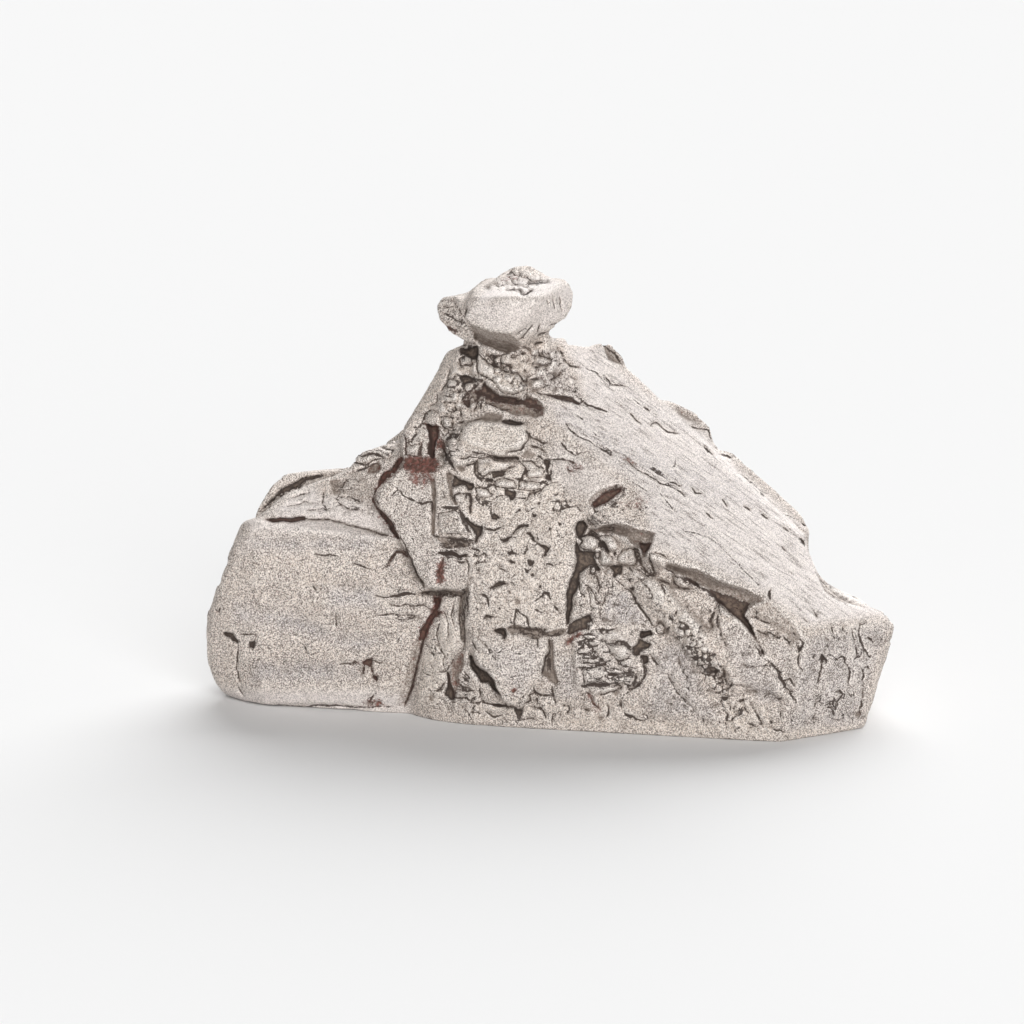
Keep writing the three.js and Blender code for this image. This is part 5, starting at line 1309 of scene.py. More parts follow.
def blurred(field, spread):
    """A field of voxels averaged over its neighbours, with spread in voxels."""
    reach = int(math.ceil(BLUR_REACH * spread))
    taps = np.exp(-0.5 * (np.arange(-reach, reach + 1) / spread) ** 2)
    taps = (taps / taps.sum()).astype(np.float32)
    for axis in range(3):
        room = [(0, 0)] * 3
        room[axis] = (reach, reach)
        padded = np.pad(field, room, mode="edge")
        total = np.zeros_like(field)
        for shift, tap in enumerate(taps):
            part = [slice(None)] * 3
            part[axis] = slice(shift, shift + field.shape[axis])
            total += tap * padded[tuple(part)]
        field = total
    return field


class Voxels:
    """The lump's surface as distances in mm on a grid of voxels, negative inside the metal."""

    CELL = 0.3  # side of a cell of the map of what the front view meets first
    DEEPEST = -2.4  # the relief works between this distance inside the metal
    HIGHEST = 1.0  # and this distance outside it
    SKIN = 0.25  # voxels nearer the surface than this count as met by the front view
    BEHIND = (2.4, 4.0)  # how far behind what is met first the relief fades out
    SQUARE = 0.25  # how squarely the front view meets what gets the whole relief

    def __init__(self, points, triangles, step):
        self.step = step
        self.low = points.min(0) - MARGIN
        size = np.ceil((points.max(0) + MARGIN - self.low) / step).astype(int)
        self.distance = np.empty(tuple(size), np.float32)
        self.distance = self.level_set(0.0, points - self.low, triangles=triangles)

    def level_set(self, more, points, **faces):
        """The distances around a mesh, kept to REACH and more."""
        surface = openvdb.FloatGrid.createLevelSetFromPolygons(
            points,
            transform=openvdb.createLinearTransform(voxelSize=self.step),
            halfWidth=(REACH + more) / self.step,
            **faces,
        )
        distance = np.empty_like(self.distance)
        surface.copyToArray(distance)
        return distance

    def places(self, index):
        """The frame's points, in mm, of voxels by their flat index."""
        spots = np.unravel_index(index, self.distance.shape)
        return np.stack(spots, axis=1).astype(np.float32) * self.step + self.low.astype(np.float32)

    def nearest(self, points):
        """The flat index of the voxel nearest to each point."""
        last = np.array(self.distance.shape) - 1
        spots = np.clip(np.rint((points - self.low) / self.step).astype(int), 0, last)
        return np.ravel_multi_index(tuple(spots.T), self.distance.shape)

    def cells(self, across, up):
        """The row and column of the map's cell at each place on the front view."""
        row = np.clip((up - Relief.LOW) / self.CELL, 0, None).astype(np.int32)
        column = np.clip((across - Relief.LEFT) / self.CELL, 0, None).astype(np.int32)
        return row, column

    def surface_mesh(self, distance):
        """The points, measured from the grid's corner, and four-sided faces that far from the surface."""
        grid = openvdb.FloatGrid(REACH)
        grid.transform = openvdb.createLinearTransform(voxelSize=self.step)
        grid.copyFromArray(self.distance)
        return grid.convertToQuads(distance)

    def fill_clefts(self, width):
        """Fills the clefts narrower than width, so that the relief alone says how deep each one is."""
        points, quads = self.surface_mesh(width / 2.0)
        spread = self.level_set(width / 2.0, points, quads=quads)
        np.minimum(self.distance, spread + width / 2.0, out=self.distance)

    def wear_round(self, face, crisp, soft):
        """Rounds the edges, by a radius in mm that is crisp, or soft where the front is marked soft."""
        index = np.flatnonzero(np.abs(self.distance) < REACH * 0.95)
        crisp_field = blurred(self.distance, crisp / self.step)
        self.worn = blurred(self.distance, soft / self.step)
        across, up, _ = sighted(self.places(index))
        share = read_layer(face.soft, across, up)
        flat = self.distance.ravel()
        flat[index] = crisp_field.ravel()[index] * (1 - share) + self.worn.ravel()[index] * share

    def map_first_met(self):
        """Notes how far along each sight line the surface is first met."""
        index = np.flatnonzero(np.abs(self.distance) < self.SKIN)
        across, up, beyond = sighted(self.places(index))
        wide = int((Relief.RIGHT - Relief.LEFT) / self.CELL) + 1
        high = int((Relief.HIGH - Relief.LOW) / self.CELL) + 1
        self.first_met = np.full((high, wide), SIGHT_DISTANCE, np.float32)
        np.minimum.at(self.first_met, self.cells(across, up), beyond)

    def front_share(self, index, across, up, beyond):
        """1 where the front view meets the surface squarely, and 0 where it turns away or lies behind."""
        flat, over, last = self.worn.ravel(), self.worn.shape[2], self.worn.size - 1
        back = flat[np.minimum(index + over, last)] - flat[np.maximum(index - over, 0)]
        rise = flat[np.minimum(index + 1, last)] - flat[np.maximum(index - 1, 0)]
        facing = (rise * math.sin(SIGHT_TILT) - back * math.cos(SIGHT_TILT)) / (2.0 * self.step)
        behind = beyond - self.first_met[self.cells(across, up)]
        return smoothstep(0.0, self.SQUARE, facing) * (1.0 - smoothstep(*self.BEHIND, behind))

    def cut_relief(self, height):
        """Moves the surface in or out by the front's relief."""
        flat = self.distance.ravel()
        index = np.flatnonzero((flat > self.DEEPEST) & (flat < self.HIGHEST))
        across, up, beyond = sighted(self.places(index))
        flat[index] -= read_layer(height, across, up) * self.front_share(index, across, up, beyond)

    def stand_flat(self):
        """Cuts the surface level where the lump stands."""
        heights = self.low[2] + np.arange(self.distance.shape[2]) * self.step
        np.maximum(self.distance, -heights[None, None, :].astype(np.float32), out=self.distance)

    def mesh(self):
        """The surface as points in mm and four-sided faces."""
        points, quads = self.surface_mesh(0.0)
        return points + self.low.astype(np.float32), quads


def sampled(field, low, step, points):
    """A field's values at points, evened between its voxels."""
    spot = np.clip((points - low) / step, 0, np.array(field.shape) - 1.001)
    base = spot.astype(np.int32)
    part = (spot - base).astype(np.float32)
    total = np.zeros(len(points), np.float32)
    for corner in range(8):
        shift = np.array([corner & 1, corner >> 1 & 1, corner >> 2 & 1])
        share = np.prod(np.where(shift, part, 1 - part), axis=1)
        total += share * field[tuple((base + shift).T)]
    return total


# ---- Meshes ----


def solid_of(node):
    """A CAD node's points in mm and its triangles."""
    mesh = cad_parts[node].data
    points = np.empty(len(mesh.vertices) * 3, np.float32)
    mesh.vertices.foreach_get("co", points)
    mesh.calc_loop_triangles()
    triangles = np.empty(len(mesh.loop_triangles) * 3, np.int32)
    mesh.loop_triangles.foreach_get("vertices", triangles)
    return points.reshape(-1, 3) / MM, triangles.reshape(-1, 3).astype(np.uint32)


def new_mesh(name, points, quads):
    """A mesh of four-sided faces, with its points given in mm."""
    mesh = bpy.data.meshes.new(name)
    mesh.vertices.add(len(points))
    mesh.vertices.foreach_set("co", (points * MM).astype(np.float32).ravel())
    mesh.loops.add(quads.size)
    mesh.loops.foreach_set("vertex_index", quads.astype(np.int32).ravel())
    mesh.polygons.add(len(quads))
    mesh.polygons.foreach_set("loop_start", np.arange(0, quads.size, 4, dtype=np.int32))
    mesh.update(calc_edges=True)
    return mesh


def points_of(mesh):
    """A mesh's points in mm."""
    points = np.empty(len(mesh.vertices) * 3, np.float32)
    mesh.vertices.foreach_get("co", points)
    return points.reshape(-1, 3) / MM


def keep_in_box(mesh):
    """Holds the mesh's points inside the box of the plain solid."""
    low, high = (np.array(corner, np.float32) for corner in box_before)
    mesh.vertices.foreach_set("co", np.clip(points_of(mesh) * MM, low, high).ravel())
    mesh.update()


def close_up(mesh):
    """Drops the folded and the hanging faces that thinning leaves, so that the surface is closed."""
    builder = bmesh.new()
    builder.from_mesh(mesh)
    for fold in [point for point in builder.verts if len(point.link_edges) == 2]:
        narrow, wide = sorted(fold.link_faces, key=lambda face: len(face.verts))
        if len(narrow.verts) == 3:
            ring = [point for point in wide.verts if point is not fold]
            bmesh.ops.delete(builder, geom=[fold], context="VERTS")
            if len(ring) > 2:
                builder.faces.new(ring)
    hanging = [
        face for face in builder.faces
        if any(len(edge.link_faces) == 1 for edge in face.edges)
        and any(len(edge.link_faces) > 2 for edge in face.edges)
    ]
    bmesh.ops.delete(builder, geom=hanging, context="FACES")
    opened = sum(not edge.is_manifold for edge in builder.edges)
    builder.to_mesh(mesh)
    builder.free()
    if opened:
        raise RuntimeError(f"the lump's surface has {opened} open edges")


def put_layer(mesh, name, values):
    """Keeps one number for each point of a mesh, for Geometry Nodes or a material to read."""
    layer = mesh.attributes.new(name, "FLOAT", "POINT")
    layer.data.foreach_set("value", values.astype(np.float32))


def settle(piece):
    """Turns the piece's modifiers into its mesh."""
    graph = bpy.context.evaluated_depsgraph_get()
    made = bpy.data.meshes.new_from_object(piece.evaluated_get(graph), depsgraph=graph)
    old = piece.data
    piece.modifiers.clear()
    piece.data = made
    bpy.data.meshes.remove(old)


def triangle_count(mesh):
    """How many triangles a mesh's faces make."""
    mesh.calc_loop_triangles()
    return len(mesh.loop_triangles)


BORDER_COST = 1e-5  # how much thinning avoids the edges where the chosen points end


def thin_out(piece, chosen, count):
    """Takes triangles away, only among the chosen points, until about count are left in all."""
    total = triangle_count(piece.data)
    if total <= count:
        return
    group = piece.vertex_groups.new(name="thin")
    group.add(np.flatnonzero(chosen).tolist(), 1.0, "REPLACE")
    thin = piece.modifiers.new("thin", "DECIMATE")
    thin.ratio = count / total
    thin.vertex_group = group.name
    thin.vertex_group_factor = BORDER_COST
    settle(piece)
    piece.vertex_groups.clear()


# ---- Nodes ----


class Nodes:
    """Adds nodes to a tree, each from its type, its settings and its sockets' values or links."""

    def __init__(self, tree):
        self.tree = tree

    def add(self, kind, settings=None, values=None):
        """A new node, with its settings set before its sockets."""
        node = self.tree.nodes.new(kind)
        for name, value in (settings or {}).items():
            setattr(node, name, value)
        for socket, value in (values or {}).items():
            self.feed(node.inputs[socket], value)
        return node

    def feed(self, socket, value):
        """Links a socket to a value's socket, or sets it to a plain number or colour."""
        if isinstance(value, Value):
            value = value.socket
        if isinstance(value, bpy.types.NodeSocket):
            self.tree.links.new(value, socket)
        else:
            socket.default_value = value

    def value(self, kind, settings=None, values=None, output=0):
        """A new node's output, ready for sums."""
        return Value(self, self.add(kind, settings, values).outputs[output])

    def vector(self, operation, first, second=(0.0, 0.0, 0.0)):
        """A sum of two vectors, or of a vector and a scale."""
        place = "Scale" if operation == "SCALE" else 1
        return self.value("ShaderNodeVectorMath", {"operation": operation}, {0: first, place: second})

    def noise(self, place, size, detail=2.0, seed=0.0, output="Fac"):
        """Noise from about 0 to 1 whose lumps are about size wide, in metres."""
        values = {"Vector": place, "Scale": 1.0 / size, "Detail": detail, "W": seed, "Roughness": 0.55}
        return self.value("ShaderNodeTexNoise", {"noise_dimensions": "4D"}, values, output)

    def plates(self, place, size, seed):
        """Broken plates: the distance to the nearest seam, in metres, and a random number for each."""
        stray = self.noise(place, 3.0 * MM, 2.0, seed, "Color")
        stray = self.vector("SUBTRACT", stray, (0.5, 0.5, 0.5))
        bent = self.vector("ADD", place, self.vector("SCALE", stray, size * 0.9))
        values = {"Vector": bent, "Scale": 1.0 / size, "Randomness": 0.85}
        seam = self.value("ShaderNodeTexVoronoi", {"feature": "DISTANCE_TO_EDGE"}, values, "Distance")
        colour = self.value("ShaderNodeTexVoronoi", {"feature": "F1"}, values, "Color")
        return seam * size, self.value("ShaderNodeSeparateXYZ", values={"Vector": colour})


class Value:
    """A socket that can be used in sums: each operator adds a Math node."""

    def __init__(self, nodes, socket):
        self.nodes = nodes
        self.socket = socket

    def math(self, operation, first, second=0.0):
        """The output of a new Math node."""
        return self.nodes.value("ShaderNodeMath", {"operation": operation}, {0: first, 1: second})

    def __add__(self, other):
        return self.math("ADD", self, other)

    __radd__ = __add__

    def __sub__(self, other):
        return self.math("SUBTRACT", self, other)

    def __rsub__(self, other):
        return self.math("SUBTRACT", other, self)

    def __mul__(self, other):
        return self.math("MULTIPLY", self, other)

    __rmul__ = __mul__

    def __truediv__(self, other):
        return self.math("DIVIDE", self, other)

    def __rtruediv__(self, other):
        return self.math("DIVIDE", other, self)

    def __abs__(self):
        return self.math("ABSOLUTE", self)

    def most(self, other):
        """The larger of two values."""
        return self.math("MAXIMUM", self, other)

    def rise(self, low, high, to_low=0.0, to_high=1.0):
        """A smooth rise from to_low to to_high as the value goes from low to high."""
        values = {"Value": self, "From Min": low, "From Max": high, "To Min": to_low, "To Max": to_high}
        return self.nodes.value("ShaderNodeMapRange", {"interpolation_type": "SMOOTHSTEP"}, values)


# ---- Weathering in Geometry Nodes ----

# The sizes that the weathering asks for. Each is a setting of the lump, under the same name.
TREE_SIZES = ("Plate size", "Plate step", "Crack width", "Crack depth", "Grain size", "Grain depth")

# The hidden sides' plates: their size as a share of the plate size, and where their noise starts.
LARGE_PLATES = (2.6, 0.0)
SMALL_PLATES = (0.9, 7.0)


def broken_share(nodes, place, seed):
    """Where the hidden sides are broken into large plates, and where into small ones."""
    large = nodes.noise(place, 14.0 * MM, 2.0, seed + 3.0).rise(0.5, 0.64)
    small = nodes.noise(place, 10.0 * MM, 2.0, seed + 5.0).rise(0.53, 0.66)
    return large, small


def weathering_tree(material):
    """Drops loose crumbs, roughens the surface, and breaks the sides that the relief doesn't reach."""
    tree = bpy.data.node_groups.new("weathering", "GeometryNodeTree")
    tree.interface.new_socket("Geometry", in_out="INPUT", socket_type="NodeSocketGeometry")
    for name in TREE_SIZES + ("Seed",):
        tree.interface.new_socket(name, in_out="INPUT", socket_type="NodeSocketFloat")
    tree.interface.new_socket("Crumb", in_out="INPUT", socket_type="NodeSocketInt")
    tree.interface.new_socket("Geometry", in_out="OUTPUT", socket_type="NodeSocketGeometry")
    nodes = Nodes(tree)
    given = nodes.add("NodeGroupInput")
    start = given.outputs["Geometry"]

    def asked(name):
        """One of the tree's named inputs."""
        return Value(nodes, given.outputs[name])

    def named(name):
        """A layer that was put on the mesh."""
        settings = {"data_type": "FLOAT"}
        return nodes.value("GeometryNodeInputNamedAttribute", settings, {"Name": name}, "Attribute")

    island = nodes.value("GeometryNodeInputMeshIsland", output="Island Index")
    counter = nodes.add(
        "GeometryNodeAccumulateField", {"data_type": "INT"}, {"Value": 1, "Group ID": island}
    )
    crumb = nodes.value(
        "FunctionNodeCompare", {"data_type": "INT", "operation": "LESS_THAN"},
        {2: Value(nodes, counter.outputs["Total"]), 3: asked("Crumb")},
    )
    whole = nodes.value("GeometryNodeDeleteGeometry", values={"Geometry": start, "Selection": crumb})

    place = nodes.value("GeometryNodeInputPosition")
    seed, size, step = asked("Seed"), asked("Plate size"), asked("Plate step")
    large, small = broken_share(nodes, place, seed)

    def broken(kind, rise, share, width, depth):
        """Plates of uneven height with cracks between them, where share allows."""
        seam, random = nodes.plates(place, size * kind[0], seed + kind[1])
        crack = 1.0 - (seam / (asked("Crack width") * width)).rise(0.25, 1.0)
        return (random - 0.5) * step * rise - crack * asked("Crack depth") * depth * share

    plates = broken(LARGE_PLATES, 1.6, large, 1.6, 1.0) + broken(SMALL_PLATES, 1.0, small, 1.0, 0.8) * small
    swell = (nodes.noise(place, 9.0 * MM, 3.0, seed + 11.0) - 0.5) * step * 3.0
    grain = (nodes.noise(place, asked("Grain size"), 2.0, seed) - 0.5) * asked("Grain depth")
    total = (plates + swell) * named("hidden") + grain * (1.0 - named("smooth") * 0.5)
    offset = nodes.vector("SCALE", nodes.value("GeometryNodeInputNormal"), total)
    moved = nodes.value("GeometryNodeSetPosition", values={"Geometry": whole, "Offset": offset})
    plain = nodes.value("GeometryNodeRealizeInstances", values={"Geometry": moved})
    painted = nodes.value("GeometryNodeSetMaterial", values={"Geometry": plain, "Material": material})
    nodes.add("NodeGroupOutput", values={0: painted})
    return tree


def add_weathering(piece, tree, sizes):
    """Puts the weathering on a piece, with each named input set through its own socket."""
    modifier = piece.modifiers.new("weathering", "NODES")
    modifier.node_group = tree
    for item in tree.interface.items_tree:
        if item.in_out == "INPUT" and item.name in sizes:
            modifier[item.identifier] = sizes[item.name]


# ---- The finish ----


def iron_finish(finish, lump):
    """Pale cleaned iron: warm grey with a dark grain, brown in the cracks and hollows, and rust stains.

    Shade is painted into the dips and under the overhangs, and light onto the edges and the lit faces.
    """
    material = bpy.data.materials.new("cleaned_iron")
    material.use_nodes = True
    material.node_tree.nodes.clear()
    nodes = Nodes(material.node_tree)
    place = nodes.value("ShaderNodeTexCoord", output="Object")

    def layer(name):
        """A layer that was put on the mesh."""
        return nodes.value("ShaderNodeAttribute", {"attribute_name": name}, output="Fac")

    def noise(size, detail=2.0, seed=0.0):
        """Noise on the lump, with its size in mm."""
        return nodes.noise(place, size * MM, detail, seed)

    def mixed(share, first, second):
        """A colour that goes from the first to the second as share goes from 0 to 1."""
        node = nodes.add("ShaderNodeMix", {"data_type": "RGBA"})
        nodes.feed(node.inputs["Factor"], share)
        for socket, tint in (("A", first), ("B", second)):
            nodes.feed(node.inputs[socket], tint if isinstance(tint, Value) else tint[:] + (1.0,))
        return Value(nodes, node.outputs["Result"])

    def strokes(size, seed, width):
        """Fine wandering lines, drawn where noise passes its middle."""
        return 1.0 - abs(noise(size, 2.0, seed) - 0.5).rise(0.012, width)

    smooth, hidden, rust = layer("smooth"), layer("hidden"), layer("rust")
    wobble = noise(0.5, 2.0, 3.0) - 0.5
    tremble = noise(0.22, 1.0, 7.0) - 0.5
    cloud = noise(4.5, 3.0)
    patch = noise(2.6, 2.0, 9.0)
    calm = 1.0 - (layer("pale") * 0.6).most(layer("cream") * 0.3)

    metal = mixed(cloud.rise(0.36, 0.64), finish.warm_metal, finish.pale_metal)
    metal = mixed(layer("cream") * 0.8, metal, finish.cream_metal)
    # pale: partly the metal's pinkish tone, partly painted light on faces turned to the light
    metal = mixed(layer("pale") * 0.85, metal, finish.smooth_metal)
    metal = mixed(noise(3.5, 3.0, 31.0).rise(0.5, 0.72) * 0.3, metal, finish.dull_metal)
    metal = mixed(layer("grey") * patch.rise(0.3, 0.62, 0.5, 1.0), metal, finish.grey_metal)
    # pale convex edges: partly metal rubbed pale, partly painted highlight on the edges
    metal = mixed(layer("worn") * 0.8, metal, finish.pale_wear_and_highlight)

    # painted highlights on the lips along the cracks, partly rubbed-pale wear, and light crumbs
    gap = abs(layer("line")) - layer("half")
    lit_lip = gap.rise(0.02, 0.08) * (1.0 - gap.rise(0.1, 0.3)) * layer("half").rise(0.0, 0.06)
    crumbs = noise(0.21, 1.0, 5.0).rise(0.5, 0.6)
    metal = mixed((lit_lip * 0.8).most(crumbs * 0.4), metal, finish.pale_wear_and_highlight)

    # streaks down the slope, dark grain, short fine strokes, and a fine crackle in patches
    slope = nodes.value(
        "ShaderNodeMapping", {"vector_type": "TEXTURE"},
        {"Vector": place, "Rotation": (0.0, math.radians(37.0), 0.0), "Scale": (12.0, 1.5, 1.0)},
    )
    streak = nodes.noise(slope, 0.3 * MM, 2.0, 21.0)
    streaked = smooth.rise(0.8, 0.97)
    metal = mixed(streak.rise(0.54, 0.64) * streaked * 0.5, metal, finish.pale_wear_and_highlight)
    metal = mixed((1.0 - streak.rise(0.37, 0.46)) * streaked * 0.6, metal, finish.grain)
    fine = noise(0.2, 1.0)
    grain = fine.rise(0.51, 0.58)
    stroke = strokes(0.62, 6.0, 0.03) * cloud.rise(0.4, 0.5) * 0.85
    scratch = strokes(0.45, 46.0, 0.035) * noise(1.3, 1.0, 41.0).rise(0.46, 0.54) * 0.7
    seam, _ = nodes.plates(place, 1.1 * MM, 4.0)
    crackle = (1.0 - (seam + tremble * 0.1 * MM).rise(0.02 * MM, 0.08 * MM)) * patch.rise(0.5, 0.58)
    metal = mixed(grain * calm * (0.6 + wobble), metal, finish.grain)
    metal = mixed(stroke.most(scratch).most(crackle * 0.7) * calm, metal, finish.grain)
    dust = noise(0.15, 0.0, 51.0)
    metal = mixed((1.0 - dust.rise(0.37, 0.44)) * 0.65, metal, finish.pale_wear_and_highlight)
    metal = mixed(dust.rise(0.59, 0.66) * calm * 0.65, metal, finish.crack)

    rusty = (rust + (noise(0.5, 3.0, 2.0) - 0.5) * 1.8 + tremble - 0.1).rise(0.1, 0.8)
    rust_colour = mixed(noise(0.5, 2.0, 8.0).rise(0.42, 0.6), finish.dark_rust, finish.red_rust)

    # painted shade with some soft dirt in the dips and sheltered hollows, then dim and dark hollows, then
    # the cracks
    shade_and_dirt = (layer("cavity") + layer("shelter") * 0.45 + wobble * 0.3).rise(0.12, 0.95)
    metal = mixed(shade_and_dirt * (0.85 - hidden * 0.4), metal, finish.dim)
    dim = (layer("dim") + wobble * 0.3 + tremble * 0.2).rise(-0.1, 0.12) * (layer("shade") + tremble * 1.2)
    dim_colour = mixed(noise(0.35, 2.0, 17.0).rise(0.42, 0.62) * 0.5, finish.dim, finish.dull_metal)
    metal = mixed(dim.rise(0.0, 1.0), metal, dim_colour)
    metal = mixed(rusty * 0.95, metal, rust_colour)
    dark = (layer("dark") + wobble * 0.45 + tremble * 0.4).rise(-0.08, 0.1)
    floor_colour = mixed(noise(0.4, 2.0, 12.0).rise(0.42, 0.6), finish.hollow, finish.hollow_floor)
    dark_colour = mixed((layer("dark") + wobble * 0.7).rise(0.12, 0.5), finish.crack, floor_colour)
    dark_colour = mixed(rust * 0.75, dark_colour, rust_colour)
    metal = mixed(dark * 0.95, metal, dark_colour)
    line = 1.0 - (gap + wobble * 0.3 + tremble * 0.35 + 0.015).rise(-0.05, 0.05)
    metal = mixed(line * 0.95, metal, mixed(rust * 0.7, finish.crack, finish.dark_rust))

    # the seams between the hidden sides' plates
    large, small = broken_share(nodes, place, float(lump.seed))
    for (size, shift), where, width in ((LARGE_PLATES, large, 1.1), (SMALL_PLATES, small, 0.6)):
        seam, _ = nodes.plates(place, lump.plate_size * size, lump.seed + shift)
        widest = width * lump.crack_width
        crack = 1.0 - (seam + wobble * 0.2 * MM).rise(0.2 * widest, widest)
        metal = mixed(crack * where * hidden * 0.85, metal, finish.crack)

    height = fine * 0.6 + noise(0.8, 2.0, 14.0) * 0.4 - grain * 0.5
    bump = nodes.value(
        "ShaderNodeBump", values={"Height": height, "Strength": 0.6, "Distance": finish.grain_height}
    )
    sooty = dark.most(line).most(dim)
    shader = nodes.add(
        "ShaderNodeBsdfPrincipled",
        values={
            "Base Color": metal,
            "Roughness": sooty.rise(0.0, 1.0, finish.roughness, 0.95),
            "Metallic": sooty.rise(0.0, 1.0, finish.metallic, 0.0),
            "Normal": bump,
        },
    )
    nodes.add("ShaderNodeOutputMaterial", values={"Surface": shader.outputs[0]})
    return material


def plain_finish(name, tint, roughness):
    """A plain finish for the floor."""
    material = bpy.data.materials.new(name)
    material.use_nodes = True
    shader = material.node_tree.nodes["Principled BSDF"]
    shader.inputs["Base Color"].default_value = tint[:] + (1.0,)
    shader.inputs["Roughness"].default_value = roughness
    shader.inputs["Specular IOR Level"].default_value = 0.0
    return material


# ---- Settings ----


def length(name, description, default):
    """A length in metres."""
    return FloatProperty(name=name, description=description, default=default, unit="LENGTH", precision=5)


def share(name, description, default):
    """A number from 0 to 1."""
    return FloatProperty(
        name=name, description=description, default=default, subtype="FACTOR", min=0.0, max=1.0
    )


def brightness(name, description, default):
    """How strong a light is."""
    return FloatProperty(name=name, description=description, default=default, min=0.0)


def light_width(name, description, default):
    """How wide a light is, in radians."""
    return FloatProperty(name=name, description=description, default=default, subtype="ANGLE")


def number(name, description, default):
    """A whole number."""
    return IntProperty(name=name, description=description, default=default, min=0)


def colour(name, description, default):
    """A plain colour."""
    return FloatVectorProperty(
        name=name, description=description, default=default, subtype="COLOR", size=3, min=0.0, max=1.0
    )


class LumpSettings(bpy.types.PropertyGroup):
    """Sizes of the lump's surface."""

    voxel: length("Voxel", "Side of the voxels that the surface is worked on", 0.2 * MM)
    cleft: length("Cleft", "Clefts in the solid narrower than this are filled", 2.0 * MM)
    crisp: length("Crisp edge", "How round the broken edges are worn", 0.22 * MM)
    soft: length("Soft edge", "How round the smooth block and the slope are worn", 0.75 * MM)
    plate_size: length("Plate size", "Width of the metal's plates on the hidden sides", 2.2 * MM)
    plate_step: length("Plate step", "How uneven the plates on the hidden sides are", 0.3 * MM)
    crack_width: length("Crack width", "Width of the cracks on the hidden sides", 0.35 * MM)
    crack_depth: length("Crack depth", "Depth of the cracks on the hidden sides", 0.45 * MM)
    grain_size: length("Grain size", "Size of the lumps left by cleaning", 0.7 * MM)
    grain_depth: length("Grain depth", "Depth of the lumps left by cleaning", 0.08 * MM)
    crumb: number("Crumb", "Loose bits with fewer points than this are dropped", 5000)
    hidden_triangles: number("Hidden triangles", "Triangles on the hidden sides", 45000)
    triangles: number("Triangles", "Most triangles in the lump", 195000)
    seed: number("Seed", "Changes every random crack and pit", 7)


class FinishSettings(bpy.types.PropertyGroup):
    """Colours and gloss of the cleaned iron."""

    warm_metal: colour("Warm metal", "Cleaned metal", (0.66, 0.56, 0.49))
    pale_metal: colour("Pale metal", "Palest cleaned metal", (0.78, 0.68, 0.61))
    cream_metal: colour("Cream metal", "Light beige of the column and raised pieces", (0.84, 0.73, 0.63))
    grey_metal: colour("Grey metal", "Cool grey metal on the flat panels", (0.53, 0.49, 0.49))
    # also laid where light is painted: on faces turned up to the light and on the left block's lit bands
    smooth_metal: colour("Smooth metal", "Pale pinkish white of the slope and the cap", (0.76, 0.70, 0.685))
    dull_metal: colour("Dull metal", "Darker patches of the metal", (0.50, 0.43, 0.38))
    # also the colour of the painted highlights on the edges and the crack lips
    pale_wear_and_highlight: colour("Worn metal", "Edges and crumbs rubbed pale", (0.98, 0.91, 0.85))
    grain: colour("Grain", "Dark grain of the metal", (0.165, 0.13, 0.108))
    # also the colour of the painted shade in the dips, mixed with soft dirt
    dim: colour("Dim", "Light brown of the shallow hollows", (0.155, 0.118, 0.093))
    hollow: colour("Hollow", "Brown of the deep hollows", (0.09, 0.068, 0.056))
    hollow_floor: colour("Hollow floor", "Lighter brown of the deep hollows' floor", (0.185, 0.138, 0.105))
    crack: colour("Crack", "Dark of the cracks", (0.055, 0.039, 0.032))
    dark_rust: colour("Dark rust", "Old rust in the clefts", (0.10, 0.045, 0.032))
    red_rust: colour("Red rust", "Fresh rust", (0.235, 0.09, 0.07))
    roughness: share("Roughness", "Roughness of the metal", 0.62)
    metallic: share("Metallic", "How metallic the cleaned surface looks", 0.1)
    grain_height: length("Grain height", "Height of the finest grain", 0.1 * MM)


class StageSettings(bpy.types.PropertyGroup):
    """The floor, the lights and the camera."""

    floor: colour("Floor", "Colour of the floor", (0.83, 0.83, 0.83))
    sky: brightness("Sky", "Strength of the light from all round", 0.16)
    key: brightness("Key light", "Strength of the soft light from behind on the right", 3.65)
    front: brightness("Front light", "Strength of the soft light in front", 2.3)
    key_spread: light_width("Key spread", "How wide the key light is", 1.1)
    front_spread: light_width("Front spread", "How wide the front light is", 0.8)


# ---- Operators ----


